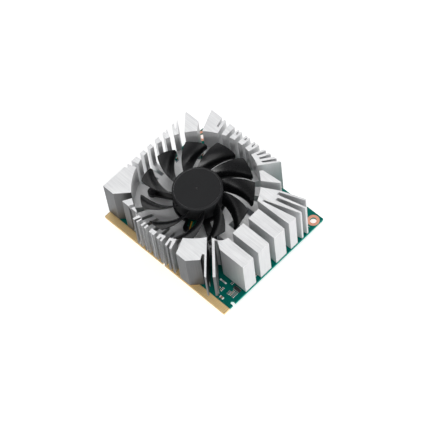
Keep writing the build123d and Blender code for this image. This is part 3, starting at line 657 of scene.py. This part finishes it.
# Dark copy of the aluminium for slanted and end faces towards the front: painted shade.
FRONT_SHADE_ALUMINIUM = MetalFinish(
    "aluminium_painted_front_shade", (0.155, 0.159, 0.163), (0.125, 0.129, 0.133), 0.46,
    line_scale=2.4, edge_colour=(0.5, 0.5, 0.5), metallic=0.85,
)
# Lighter, less metallic copy of the aluminium for the pocket's floor: painted light.
LIT_FLOOR_ALUMINIUM = MetalFinish(
    "pocket_floor_painted_light", (0.96, 0.96, 0.965), (0.87, 0.875, 0.88), 0.42, line_scale=2.4, metallic=0.3
)
PLATE_STEEL = MetalFinish("stamped_steel", (0.58, 0.59, 0.6), (0.5, 0.51, 0.52), 0.38)
SCREW_STEEL = MetalFinish("zinc_plated_steel", (0.5, 0.5, 0.5), (0.4, 0.4, 0.41), 0.33)
FILM_BLACK = MouldedFinish("insulating_film", (0.02, 0.02, 0.022), (0.05, 0.05, 0.05), 0.5)

# Card
CARD_GREEN = ResistFinish(
    "card_resist", (0.0, 0.16, 0.128), (0.0, 0.195, 0.155), (0.0, 0.24, 0.19),
    bare_colour=(0.78, 0.56, 0.29), bare_below=-31.2,
)
GOLD = MetalFinish("gold_plating", (1.0, 0.73, 0.35), (0.96, 0.68, 0.31), 0.42, line_scale=5.0, metallic=0.12)
GOLD_WEB = MetalFinish(
    "gold_between_contacts", (0.82, 0.62, 0.33), (0.74, 0.54, 0.28), 0.5, line_scale=5.0, metallic=0.3
)
COPPER = MetalFinish("bare_copper", (0.82, 0.4, 0.28), (0.76, 0.36, 0.25), 0.45, metallic=0.5)
SILK = MouldedFinish("white_marking_ink", (0.7, 0.74, 0.72), (0.8, 0.8, 0.8), 0.6, edge_radius=0.01)

# Small parts
TIN = MetalFinish(
    "tinned_end", (1.0, 1.0, 0.99), (0.92, 0.92, 0.91), 0.4, line_scale=4.0, edge_radius=0.03, metallic=0.1
)
CHIP_BLACK = MouldedFinish("chip_body", (0.024, 0.025, 0.028), (0.08, 0.08, 0.08), 0.55, grain_scale=12.0)
INDUCTOR = MouldedFinish(
    "pressed_powder", (0.12, 0.12, 0.125), (0.2, 0.2, 0.2), 0.65, grain_scale=8.0, grain_depth=0.03
)
RESISTOR = MouldedFinish(
    "resistor_glaze", (0.01, 0.01, 0.011), (0.04, 0.04, 0.04), 0.45, grain_scale=10.0, specular=0.25
)
CAPACITOR = MouldedFinish("capacitor_ceramic", (0.38, 0.25, 0.15), (0.5, 0.38, 0.26), 0.42, grain_scale=10.0)
PALE_PART = MouldedFinish("pale_ceramic", (0.55, 0.56, 0.55), (0.7, 0.7, 0.7), 0.45)

# Processor and memory
LAMINATE = MouldedFinish("package_laminate", (0.03, 0.2, 0.12), (0.1, 0.3, 0.2), 0.45)
NICKEL = MetalFinish("nickel_plate", (0.68, 0.67, 0.64), (0.6, 0.59, 0.57), 0.28)
SILICON = MetalFinish("polished_silicon", (0.28, 0.29, 0.33), (0.24, 0.25, 0.29), 0.12, line_depth=0.0005)
PASTE = MouldedFinish("thermal_paste", (0.45, 0.45, 0.44), (0.5, 0.5, 0.5), 0.6)
PAD = MouldedFinish("thermal_pad", (0.36, 0.4, 0.5), (0.45, 0.48, 0.55), 0.75)

# Fan
FAN_BLACK = MouldedFinish(
    "fan_plastic", (0.005, 0.0053, 0.006), (0.03, 0.03, 0.033), 0.25, specular=0.58, dust_amount=0.08
)
# The cap's edges are mixed toward pale grey: a painted highlight along the rim of the cap.
HUB_BLACK = MouldedFinish(
    "hub_plastic", (0.015, 0.0155, 0.017), (0.8, 0.8, 0.81), 0.6,
    grain_scale=5.0, edge_radius=0.45, specular=0.26, dust_amount=0.1,
)
FRAME_BLACK = MouldedFinish(
    "frame_plastic", (0.006, 0.006, 0.007), (0.02, 0.02, 0.022), 0.3, specular=0.35, dust_amount=0.05
)
BLACK_SCREW = MetalFinish("blackened_steel", (0.05, 0.05, 0.052), (0.03, 0.03, 0.032), 0.35, metallic=0.6)
BRASS = MetalFinish("turned_brass", (0.74, 0.58, 0.3), (0.66, 0.5, 0.25), 0.3)
BRONZE = MetalFinish("sintered_bronze", (0.52, 0.34, 0.18), (0.42, 0.27, 0.14), 0.55)
LAMINATION = MetalFinish("lamination_steel", (0.3, 0.31, 0.33), (0.2, 0.21, 0.22), 0.45)
WINDING = MetalFinish("enamelled_copper", (0.72, 0.32, 0.14), (0.5, 0.2, 0.08), 0.3, line_scale=12.0)
SHAFT = MetalFinish("ground_steel", (0.75, 0.75, 0.77), (0.68, 0.68, 0.7), 0.18)
MAGNET = MouldedFinish("bonded_ferrite", (0.06, 0.06, 0.065), (0.12, 0.12, 0.12), 0.6)
NYLON = MouldedFinish("natural_nylon", (0.74, 0.7, 0.6), (0.8, 0.78, 0.7), 0.42)
DRIVER_GREEN = ResistFinish("driver_resist", (0.0, 0.05, 0.035), (0.0, 0.08, 0.05), (0.02, 0.12, 0.08))
BLACK_WIRE = MouldedFinish("black_insulation", (0.012, 0.012, 0.013), (0.05, 0.05, 0.05), 0.38)
YELLOW_WIRE = MouldedFinish("yellow_insulation", (0.72, 0.42, 0.04), (0.8, 0.6, 0.2), 0.38)
GREEN_WIRE = MouldedFinish("green_insulation", (0.0, 0.2, 0.12), (0.1, 0.35, 0.25), 0.38)


@cache
def material_of(finish: Finish) -> bpy.types.Material:
    """The material of a finish, built on its first use."""
    return finish.build()


def turn_about(centre: Vector, axis: str, angle: float) -> Matrix:
    """A turn about an axis through a point.

    Args:
        centre: the point, in metres.
        axis: X, Y or Z.
        angle: the turn in degrees.

    Returns:
        The transform.
    """
    there = Matrix.Translation(centre)
    return there @ Matrix.Rotation(math.radians(angle), 4, axis) @ there.inverted()


def connected(start: Iterable[bmesh.types.BMVert]) -> set[bmesh.types.BMVert]:
    """All vertices that edges join to some vertices.

    Args:
        start: the vertices to begin with.

    Returns:
        Every vertex that is reached, with the first ones.
    """
    reached = set(start)
    front = list(reached)
    while front:
        vert = front.pop()
        for edge in vert.link_edges:
            other = edge.other_vert(vert)
            if other not in reached:
                reached.add(other)
                front.append(other)
    return reached


class Workpiece:
    """One mesh in the making, shaped with mesh operators, in metres."""

    def __init__(self, name: str) -> None:
        """Starts an empty mesh.

        Args:
            name: name of the finished piece.
        """
        self.name = name
        self.mesh = bmesh.new()
        self.finishes: list[Finish] = []

    def dress(self, verts: Iterable[bmesh.types.BMVert], finish: Finish) -> None:
        """Gives all faces round some vertices a finish.

        Args:
            verts: the vertices.
            finish: the finish, which joins the piece's finishes on its first use.
        """
        if finish not in self.finishes:
            self.finishes.append(finish)
        index = self.finishes.index(finish)
        for face in {f for v in verts for f in v.link_faces}:
            face.material_index = index

    def block(
        self, low: Sequence[float], high: Sequence[float], finish: Finish,
        bevel: float = 0.0, turn: Matrix | None = None,
    ) -> None:
        """Adds a box with rounded edges.

        Args:
            low: lowest corner, in metres.
            high: highest corner, in metres.
            finish: finish of the box.
            bevel: radius of its edges.
            turn: transform after it is made.
        """
        low, high = Vector(low), Vector(high)
        matrix = Matrix.Translation((low + high) / 2) @ Matrix.Diagonal((*(high - low), 1.0))
        verts = bmesh.ops.create_cube(self.mesh, size=1.0, matrix=matrix)["verts"]
        self.dress(verts, finish)
        if bevel > 0:
            edges = list({e for v in verts for e in v.link_edges})
            made = bmesh.ops.bevel(
                self.mesh, geom=edges, offset=bevel * MM, affect="EDGES", segments=2, profile=0.5, material=-1
            )
            verts = list({v for f in made["faces"] for v in f.verts})
        if turn is not None:
            bmesh.ops.transform(self.mesh, matrix=turn, verts=verts)

    def cylinder(
        self, centre: Sequence[float], radius: float, height: float, finish: Finish, sides: int
    ) -> None:
        """Adds an upright cylinder.

        Args:
            centre: middle of the lower face, in metres.
            radius: its radius.
            height: its height.
            finish: finish of the cylinder.
            sides: number of sides.
        """
        matrix = Matrix.Translation(Vector(centre) + Vector((0, 0, height * MM / 2)))
        verts = bmesh.ops.create_cone(
            self.mesh, cap_ends=True, segments=sides, radius1=radius * MM, radius2=radius * MM,
            depth=height * MM, matrix=matrix,
        )["verts"]
        self.dress(verts, finish)

    def ring(
        self, centre: Sequence[float], radii: Span, height: float, finish: Finish,
        start: float = 0.0, sweep: float = 360.0, sides: int = 12,
    ) -> None:
        """Adds a flat ring or an arc of one, spun from its section.

        Args:
            centre: middle of the lower face, in metres.
            radii: inner and outer radius.
            height: its height.
            finish: finish of the ring.
            start: first angle, in degrees.
            sweep: angle of the arc, in degrees.
            sides: number of steps.
        """
        centre = Vector(centre)
        inner, outer = radii
        section = [(inner, 0.0), (outer, 0.0), (outer, height), (inner, height)]
        verts = [self.mesh.verts.new(centre + Vector((r * MM, 0, z * MM))) for r, z in section]
        face = self.mesh.faces.new(verts)
        first = Matrix.Rotation(math.radians(start), 3, "Z")
        bmesh.ops.rotate(self.mesh, cent=centre, matrix=first, verts=verts)
        made = bmesh.ops.spin(
            self.mesh, geom=[face, *face.edges, *face.verts], cent=centre, axis=(0, 0, 1),
            angle=math.radians(sweep), steps=sides, use_merge=sweep >= 360.0, use_duplicate=False,
        )
        last = [g for g in made["geom_last"] if isinstance(g, bmesh.types.BMVert)]
        self.dress(connected(last + [v for v in verts if v.is_valid]), finish)

    def strip(self, points: Sequence[Point], z: float, width: float, height: float, finish: Finish) -> None:
        """Adds a flat strip along a line of points, such as a printed track.

        Args:
            points: the line's points.
            z: height of its underside, in metres.
            width: its width.
            height: its thickness.
            finish: finish of the strip.
        """
        half = width / 2
        for (x0, y0), (x1, y1) in zip(points, points[1:]):
            length = math.hypot(x1 - x0, y1 - y0)
            angle = math.degrees(math.atan2(y1 - y0, x1 - x0))
            start = Vector((x0 * MM, y0 * MM, z))
            low = start - Vector((half * MM, half * MM, 0))
            high = start + Vector(((length + half) * MM, half * MM, height * MM))
            self.block(low, high, finish, turn=turn_about(start, "Z", angle))

    def done(self, body: str, slot: str, replaces: Sequence[str] = ()) -> None:
        """Turns the mesh into a piece that rides on a body.

        Args:
            body: the body's name.
            slot: not used.
            replaces: CAD nodes that the piece stands for.
        """
        bmesh.ops.recalc_face_normals(self.mesh, faces=self.mesh.faces)
        place_piece(self.mesh, self.name, self.finishes, body, replaces)


def mesh_data(mesh: bmesh.types.BMesh, name: str) -> bpy.types.Mesh:
    """Turns a mesh in the making into mesh data.

    Args:
        mesh: the mesh, which is freed.
        name: name of the data.

    Returns:
        The data.
    """
    data = bpy.data.meshes.new(name)
    mesh.to_mesh(data)
    mesh.free()
    return data


def place_piece(
    mesh: bmesh.types.BMesh, name: str, finishes: Sequence[Finish], body: str,
    replaces: Sequence[str] = (), sharp_angle: float = 35.0,
) -> None:
    """Links a mesh as a piece, smooths it and lets it ride.

    Args:
        mesh: the mesh, which is freed.
        name: the piece's name.
        finishes: finishes by material index.
        body: the body's name.
        replaces: CAD nodes that the piece stands for.
        sharp_angle: edges that turn more than this stay sharp, in degrees.
    """
    data = mesh_data(mesh, name)
    if "custom_normal" in data.attributes:
        data.attributes.remove(data.attributes["custom_normal"])
    data.shade_smooth()
    data.set_sharp_from_angle(angle=math.radians(sharp_angle))
    for finish in finishes:
        data.materials.append(material_of(finish))
    piece = bpy.data.objects.new(name, data)
    bpy.context.scene.collection.objects.link(piece)
    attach(piece, body)
    if replaces:
        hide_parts(*replaces)
    LOG.info("piece %s: %d faces on body %s", name, len(data.polygons), body)


def merged_copy(node: str) -> bmesh.types.BMesh:
    """A CAD node's mesh with its loose triangles joined.

    Args:
        node: the node's name.

    Returns:
        A new mesh in the making.
    """
    mesh = bmesh.new()
    mesh.from_mesh(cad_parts[node].data)
    bmesh.ops.remove_doubles(mesh, verts=mesh.verts, dist=WELD_DISTANCE * MM)
    bmesh.ops.dissolve_degenerate(mesh, edges=mesh.edges, dist=DISSOLVE_DISTANCE * MM)
    return mesh


def dressed_copy(node: str, finish: Finish) -> None:
    """A smooth-shaded copy of a CAD node on the card's body, which stands for the node.

    Args:
        node: the node's name.
        finish: finish of the copy.
    """
    place_piece(merged_copy(node), f"{node}_skin", [finish], CARD_BODY, [node])


def paint_nodes(**finishes: Finish) -> None:
    """Gives CAD nodes that stay as they are their materials.

    Args:
        finishes: finish of each node by name.
    """
    for node, finish in finishes.items():
        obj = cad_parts[node]
        if not obj.material_slots:
            obj.data.materials.append(material_of(finish))
        for slot in obj.material_slots:
            slot.material = material_of(finish)
        LOG.info("node %s: %s", node, finish.name)


def islands(node: str) -> list[tuple[Vector, Vector]]:
    """Boxes of the separate solids that share a node.

    Args:
        node: the node's name.

    Returns:
        Lowest and highest corner of each solid, in metres, in order of place.
    """
    mesh = merged_copy(node)
    left, boxes = set(mesh.verts), []
    while left:
        group = connected([left.pop()])
        left -= group
        low = Vector([min(v.co[i] for v in group) for i in range(3)])
        high = Vector([max(v.co[i] for v in group) for i in range(3)])
        boxes.append((low, high))
    mesh.free()
    return sorted(boxes, key=lambda box: (round(box[0].x, 6), round(box[0].y, 6)))


@dataclass
class Card:
    """The circuit board with its contacts, rings, tracks, vias and markings."""

    contact_pitch: float = 1.0
    web_drop: float = 0.25
    track_count: int = 16
    track_width: float = 0.16
    track_height: float = 0.018
    track_overlap: float = 0.1
    end_margin: float = 0.5
    rise: float = 0.45
    rise_step: float = 0.5
    lean: float = 0.5
    lean_step: float = 0.25
    via_radii: Span = (0.13, 0.3)
    via_height: float = 0.0288
    mark_height: float = 0.015
    mark_radii: Span = (4.1, 4.28)
    mark_starts: Span = (-52.0, 28.0)
    mark_sweep: float = 36.0
    inward_left: float = 315.0
    inward_right: float = 225.0
    upper_ring_depth: float = 0.5

    def build(self) -> None:
        """Dresses the board and adds what is printed on it."""
        paint_nodes(
            circuit_board=CARD_GREEN, edge_contacts_top=GOLD, edge_contacts_bottom=GOLD, hole_rings=COPPER
        )
        self.contact_webs()
        self.tracks()
        self.markings()

    def contact_webs(self) -> None:
        """Plating between the contacts, just below their faces."""
        webs = Workpiece("contact_webs")
        for node in ("edge_contacts_top", "edge_contacts_bottom"):
            contacts = islands(node)
            for (low, high), (next_low, _) in zip(contacts, contacts[1:]):
                gap = (next_low.x - high.x) / MM
                if 0.0 < gap < self.contact_pitch:
                    drop = Vector((0.0, 0.0, (high.z - low.z) * self.web_drop))
                    start = Vector((high.x, low.y, low.z)) + drop
                    end = Vector((next_low.x, high.y, high.z)) - drop
                    webs.block(start, end, GOLD_WEB)
        webs.done(CARD_BODY, "gold_plating")

    def tracks(self) -> None:
        """Tracks that fan out from the contacts to vias, at both ends of the card."""
        tracks, vias = Workpiece("card_tracks"), Workpiece("card_vias")
        z = board_top()
        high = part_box("edge_contacts_top")[1]
        edge_x, contact_y = high.x / MM, high.y / MM
        for side in (-1, 1):
            for index in range(self.track_count):
                x = side * (edge_x - self.end_margin - index * self.contact_pitch)
                bend = contact_y + self.rise + self.rise_step * (index % 3)
                lean = self.lean + self.lean_step * (index % 2)
                end_x, end_y = x - side * lean, bend + lean
                line = [(x, contact_y - self.track_overlap), (x, bend), (end_x, end_y)]
                tracks.strip(line, z, self.track_width, self.track_height, CARD_GREEN)
                vias.ring((end_x * MM, end_y * MM, z), self.via_radii, self.via_height, CARD_GREEN)
        tracks.done(CARD_BODY, "solder_mask")
        vias.done(CARD_BODY, "solder_mask")

    def markings(self) -> None:
        """White arcs round the mounting holes."""
        marks = Workpiece("card_markings")
        z = board_top()
        rings = [box for box in islands("hole_rings") if box[0].z >= z - self.upper_ring_depth * MM]
        for low, high in rings:
            centre = Vector(((low.x + high.x) / 2, (low.y + high.y) / 2, z))
            inward = self.inward_right if centre.x > 0 else self.inward_left
            for start in self.mark_starts:
                marks.ring(centre, self.mark_radii, self.mark_height, SILK, inward + start, self.mark_sweep)
        marks.done(CARD_BODY, "solder_mask")


@dataclass
class SmallParts:
    """Soldered parts on both faces of the card."""

    end_share: float = 0.24
    chip_bevel: float = 0.05
    middle_inset: float = 0.02
    middle_drop: float = 0.03
    slim_width_share: float = 0.62
    lead_width: float = 0.22
    lead_pitch: float = 0.5
    lead_reach: float = 0.28
    lead_length: float = 0.448
    lead_thickness: float = 0.16
    lead_bevel: float = 0.03
    case_bevel: float = 0.09
    case_lift: float = 0.05
    dot_radius: float = 0.14
    dot_inset: float = 0.35
    dot_height: float = 0.02
    dot_sides: int = 16
    body_bevel: float = 0.12
    body_lift: float = 0.08
    pad_size: tuple[float, float, float] = (0.6, 0.5, 0.1)
    pad_bevel: float = 0.02
    pad_places: tuple[float, float, float] = (0.2, 0.5, 0.8)

    def build(self) -> None:
        """Builds every kind of small part."""
        self.chips("chip_resistors", RESISTOR, "resistor_black")
        self.chips("chip_capacitors", CAPACITOR, "capacitor_tan")
        self.chips("bank_capacitors", CAPACITOR, "capacitor_tan")
        self.chips("underside_capacitors", CAPACITOR, "capacitor_tan")
        self.chips("flash_chip", PALE_PART, "chip_black", self.slim_width_share)
        self.chips("crystal", CAPACITOR, "crystal_can")
        self.leaded_chip("controller_chip", "chip_black")
        self.bodies("power_stages", CHIP_BLACK, "chip_black")
        self.bodies("inductors", INDUCTOR, "inductor_grey")

    def chips(self, node: str, finish: Finish, slot: str, width_share: float = 1.0) -> None:
        """Replaces plain bodies with chips that have tinned ends.

        Args:
            node: the CAD node of the bodies.
            finish: finish of the middle.
            slot: name of a material slot.
            width_share: how much of the plain body's width the chip takes.
        """
        piece = Workpiece(f"{node}_detailed")
        inset = Vector((self.middle_inset, self.middle_inset, 0.0)) * MM
        drop = Vector((0.0, 0.0, self.middle_drop)) * MM
        for low, high in islands(node):
            size = high - low
            along = 0 if size.x > size.y else 1
            trim = size[1 - along] * (1.0 - width_share) / 2
            low[1 - along] += trim
            high[1 - along] -= trim
            end = size[along] * self.end_share
            middle_low, middle_high = low.copy(), high.copy()
            middle_low[along] += end / 2
            middle_high[along] -= end / 2
            piece.block(middle_low + inset, middle_high - inset - drop, finish, self.chip_bevel)
            first_high, last_low = high.copy(), low.copy()
            first_high[along] = low[along] + end
            last_low[along] = high[along] - end
            piece.block(low, first_high, TIN, self.chip_bevel)
            piece.block(last_low, high, TIN, self.chip_bevel)
        piece.done(CARD_BODY, slot, [node])

    def leaded_chip(self, node: str, slot: str) -> None:
        """Replaces a plain body with a moulded chip that has leads on two sides.

        Args:
            node: the CAD node of the body.
            slot: name of a material slot.
        """
        piece = Workpiece(f"{node}_detailed")
        low, high = islands(node)[0]
        case_low = low + Vector((0.0, self.lead_reach, self.case_lift)) * MM
        case_high = high - Vector((0.0, self.lead_reach, 0.0)) * MM
        piece.block(case_low, case_high, CHIP_BLACK, self.case_bevel)
        count = int((high.x - low.x) / MM / self.lead_pitch) - 1
        first_x = (low.x + high.x) / 2 - ((count - 1) * self.lead_pitch + self.lead_width) / 2 * MM
        lead = Vector((self.lead_width, self.lead_length, self.lead_thickness)) * MM
        for index in range(count):
            x = first_x + index * self.lead_pitch * MM
            for y in (low.y, high.y - lead.y):
                corner = Vector((x, y, low.z))
                piece.block(corner, corner + lead, TIN, self.lead_bevel)
        dot = Vector((case_low.x, case_low.y, case_high.z))
        dot += Vector((self.dot_inset, self.dot_inset, -self.dot_height / 2)) * MM
        piece.cylinder(dot, self.dot_radius, self.dot_height, PALE_PART, self.dot_sides)
        piece.done(CARD_BODY, slot, [node])

    def bodies(self, node: str, finish: Finish, slot: str) -> None:
        """Replaces plain bodies with rounded ones on two rows of pads.

        Args:
            node: the CAD node of the bodies.
            finish: finish of the bodies.
            slot: name of a material slot.
        """
        piece = Workpiece(f"{node}_detailed")
        lift = Vector((0.0, 0.0, self.body_lift)) * MM
        pad = Vector(self.pad_size) * MM
        for low, high in islands(node):
            piece.block(low + lift, high, finish, self.body_bevel)
            for y in (low.y, high.y - pad.y):
                for share in self.pad_places:
                    corner = Vector((low.x + (high.x - low.x) * share - pad.x / 2, y, low.z))
                    piece.block(corner, corner + pad, TIN, self.pad_bevel)
        piece.done(CARD_BODY, slot, [node])


class Package:
    """The processor, its memory and what lies between them and the heat sink."""

    def build(self) -> None:
        """Dresses the package's nodes."""
        paint_nodes(
            processor_substrate=LAMINATE, processor_stiffener=NICKEL, processor_die=SILICON,
            thermal_paste=PASTE, memory_chips=CHIP_BLACK, memory_pads=PAD,
        )


@dataclass
class Cooling:
    """The heat sink with the plate and screws that hold it."""

    pocket_margin: float = 5.0
    floor_drop: float = 0.2
    level_share: float = 0.9
    painted_shade_lean: float = 0.4
    painted_shade_front: float = -15.0
    end_front: float = -31.0
    sharp_angle: float = 28.0
    fin_corners: tuple[Point, Point] = ((35.0, 26.46), (35.4, 25.56))
    fin_growth: Point = (2.7, 1.03)
    spur_tip: Point = (41.0, 27.7)
    near: float = 0.06
    fin_weld: float = 0.05
    fin_dissolve: float = 0.001

    def build(self) -> None:
        """Dresses the heat sink, backplate, film and screws."""
        self.heat_sink()
        dressed_copy("backplate", PLATE_STEEL)
        paint_nodes(backplate_film=FILM_BLACK)
        dressed_copy("sink_screws", SCREW_STEEL)

    def heat_sink(self) -> None:
        """The heat sink, with painted shade on its slanted and end faces towards the front and painted light
        on the floor of the fan's pocket.
        """
        mesh = merged_copy("heat_sink")
        self.mend_last_fin(mesh)
        finishes = [ALUMINIUM, FRONT_SHADE_ALUMINIUM, LIT_FLOOR_ALUMINIUM]
        low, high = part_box("fan_rotor")
        centre, pocket = (low + high) / 2, (high.x - low.x) / 2 + self.pocket_margin * MM
        floor_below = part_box("heat_sink")[1].z - self.floor_drop * MM
        for face in mesh.faces:
            place = face.calc_center_median()
            finish = ALUMINIUM
            if math.hypot(place.x - centre.x, place.y - centre.y) > pocket:
                finish = self.outer_finish(face.normal, place)
            # Level faces low in the pocket get painted light.
            elif place.z < floor_below and face.normal.z > self.level_share:
                finish = LIT_FLOOR_ALUMINIUM
            face.material_index = finishes.index(finish)
        place_piece(
            mesh, "heat_sink_skin", finishes, CARD_BODY, ["heat_sink"], self.sharp_angle
        )

    def outer_finish(self, normal: Vector, place: Vector) -> MetalFinish:
        """The finish of a face outside the fan's pocket: painted shade on slanted and end faces towards the
        front.

        Args:
            normal: the face's normal.
            place: the face's middle, in metres.

        Returns:
            Its finish.
        """
        slanted = min(abs(normal.x), abs(normal.y)) > self.painted_shade_lean and place.y < self.painted_shade_front * MM
        at_end = abs(normal.y) > self.painted_shade_lean and place.y < self.end_front * MM
        return FRONT_SHADE_ALUMINIUM if slanted or at_end else ALUMINIUM

    def mend_last_fin(self, mesh: bmesh.types.BMesh) -> None:
        """Gives the last right fin its full length, which takes in a paper-thin spur at its end.

        Args:
            mesh: the heat sink's mesh in the making.
        """
        growth = Vector(self.fin_growth)
        corners = [Vector(corner) for corner in self.fin_corners]
        tip = Vector(self.spur_tip)
        for vert in mesh.verts:
            place = vert.co.xy / MM
            if (place - tip).length < self.near:
                vert.co.xy = (corners[-1] + growth) * MM
            elif any((place - corner).length < self.near for corner in corners):
                vert.co.xy = (place + growth) * MM
        bmesh.ops.remove_doubles(mesh, verts=mesh.verts, dist=self.fin_weld * MM)
        bmesh.ops.dissolve_degenerate(mesh, edges=mesh.edges, dist=self.fin_dissolve * MM)
        mesh.normal_update()


@dataclass
class Fan:
    """The fan: frame, motor, rotor and leads."""

    cap_wall: float = 1.3
    sharp_angle: float = 40.0

    def build(self) -> None:
        """Dresses the fan's nodes."""
        self.rotor()
        dressed_copy("fan_frame", FRAME_BLACK)
        dressed_copy("fan_screws", BLACK_SCREW)
        paint_nodes(
            bearing_tube=BRASS, sleeve_bearing=BRONZE, stator_core=LAMINATION, stator_coils=WINDING,
            driver_board=DRIVER_GREEN, driver_supports=FILM_BLACK, rotor_yoke=NICKEL, rotor_magnet=MAGNET,
            rotor_shaft=SHAFT, retaining_clip=NYLON, fan_header=NYLON,
        )
        dressed_copy("fan_lead_1", BLACK_WIRE)
        dressed_copy("fan_lead_2", YELLOW_WIRE)
        dressed_copy("fan_lead_3", GREEN_WIRE)

    def rotor(self) -> None:
        """The rotor, with a matt cap between satin blades."""
        mesh = merged_copy("fan_rotor")
        low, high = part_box("rotor_yoke")
        centre, reach = (low + high) / 2, (high.x - low.x) / 2 + self.cap_wall * MM
        for face in mesh.faces:
            place = face.calc_center_median()
            on_cap = math.hypot(place.x - centre.x, place.y - centre.y) < reach
            face.material_index = 1 if on_cap else 0
        finishes = [FAN_BLACK, HUB_BLACK]
        place_piece(
            mesh, "fan_rotor_skin", finishes, ROTOR_BODY, ["fan_rotor"], self.sharp_angle
        )


@dataclass(frozen=True)
class SoftLight:
    """A square soft light that faces the object, with its place and side in metres."""

    name: str
    place: Direction
    side: float
    power: float

    def build(self) -> None:
        """Adds the light to the scene."""
        data = bpy.data.lights.new(self.name, "AREA")
        data.shape = "SQUARE"
        data.size = self.side
        data.energy = self.power
        light = bpy.data.objects.new(self.name, data)
        light.location = self.place
        light.rotation_euler = (-Vector(self.place)).to_track_quat("-Z", "Y").to_euler()
        bpy.context.scene.collection.objects.link(light)


@dataclass
class Studio:
    """Floor, light and camera."""

    aim: Direction = (-1.79, 2.17, 1.4)
    distance: float = 859.9
    azimuth: float = 51.63
    elevation: float = 58.09
    roll: float = -8.85
    lens: float = 147.3
    sensor_width: float = 36.0
    clip: Span = (10.0, 20000.0)
    floor_side: float = 4000.0
    floor_colour: Colour = (0.78, 0.78, 0.78)
    floor_glow: float = 0.62
    floor_roughness: float = 0.9
    floor_specular: float = 0.1
    bright_side: Direction = (-0.41, 0.33, 0.85)
    bright_span: Span = (0.66, 0.95)
    surround: Colour = (0.185, 0.185, 0.19)
    bright_sky: Colour = (0.88, 0.88, 0.88)
    light_strip: Colour = (5.2, 5.2, 5.2)
    strip_foot: Span = (0.0, 0.12)
    strip_head: Span = (0.42, 0.28)
    strip_right: Span = (0.35, 0.8)
    strip_rest: float = 0.14
    lights: tuple[SoftLight, ...] = (
        SoftLight("overhead_softbox", (-0.5, 0.4, 1.02), 0.95, 1.0),
        SoftLight("front_softbox", (0.1, -0.95, 0.32), 0.5, 0.9),
        SoftLight("right_softbox", (1.0, 0.1, 0.7), 0.7, 1.5),
    )

    def build(self) -> None:
        """Builds the studio."""
        self.floor()
        self.world()
        for light in self.lights:
            light.build()
        self.camera()

    def floor(self) -> None:
        """A plain pale floor."""
        mesh = bmesh.new()
        bmesh.ops.create_grid(mesh, x_segments=1, y_segments=1, size=self.floor_side * MM / 2)
        data = mesh_data(mesh, "studio_floor")
        material, _, shader = new_material("pale_floor")
        shader.inputs["Base Color"].default_value = (*self.floor_colour, 1.0)
        shader.inputs["Emission Color"].default_value = (1.0, 1.0, 1.0, 1.0)
        shader.inputs["Emission Strength"].default_value = self.floor_glow
        shader.inputs["Roughness"].default_value = self.floor_roughness
        shader.inputs["Specular IOR Level"].default_value = self.floor_specular
        data.materials.append(material)
        floor = bpy.data.objects.new("studio_floor", data)
        bpy.context.scene.collection.objects.link(floor)

    def world(self) -> None:
        """A dark surround with soft light high on the left and a light strip low on the right."""
        world = bpy.data.worlds.new("studio_world")
        bpy.context.scene.world = world
        world.use_nodes = True
        graph = Graph(world.node_tree)
        background = next(n for n in world.node_tree.nodes if n.type == "BACKGROUND")
        outward = graph.add("ShaderNodeTexCoord").outputs["Generated"]
        split = graph.split(outward)
        bright = graph.remap(graph.dot(outward, self.bright_side), *self.bright_span)
        sky = graph.mix(bright, self.surround, self.bright_sky)
        foot = graph.remap(split["Z"], *self.strip_foot)
        head = graph.remap(split["Z"], *self.strip_head)
        right = graph.remap(split["X"], *self.strip_right, self.strip_rest, 1.0)
        strip = graph.math("MULTIPLY", graph.math("MULTIPLY", foot, head), right)
        graph.feed(background.inputs["Color"], graph.mix(strip, sky, self.light_strip))
        background.inputs["Strength"].default_value = 1.0

    def camera(self) -> None:
        """The camera at the photograph's viewing angle."""
        azimuth, elevation, roll = (math.radians(a) for a in (self.azimuth, self.elevation, self.roll))
        level = Vector((math.cos(azimuth), math.sin(azimuth), 0.0))
        forward = Vector((-math.sin(azimuth), math.cos(azimuth), 0.0))
        back = Vector((0.0, 0.0, math.sin(elevation))) - forward * math.cos(elevation)
        right = level * math.cos(roll) + back.cross(level) * math.sin(roll)
        turn = Matrix((right, back.cross(right), back)).transposed()
        data = bpy.data.cameras.new("photo_camera")
        data.lens = self.lens
        data.sensor_width = self.sensor_width
        data.clip_start, data.clip_end = (distance * MM for distance in self.clip)
        camera = bpy.data.objects.new("photo_camera", data)
        place = Matrix.Translation((Vector(self.aim) + back * self.distance) * MM)
        camera.matrix_world = place @ turn.to_4x4()
        bpy.context.scene.collection.objects.link(camera)
        bpy.context.scene.camera = camera


def main() -> None:
    """Builds the studio and every sub-assembly in order."""
    logging.basicConfig(level=logging.INFO, format="%(message)s")
    bpy.context.scene.view_settings.view_transform = "Standard"
    for part in (Studio(), Card(), SmallParts(), Package(), Cooling(), Fan()):
        part.build()
        LOG.info("%s is built", type(part).__name__)


if __name__ == "__main__":
    main()
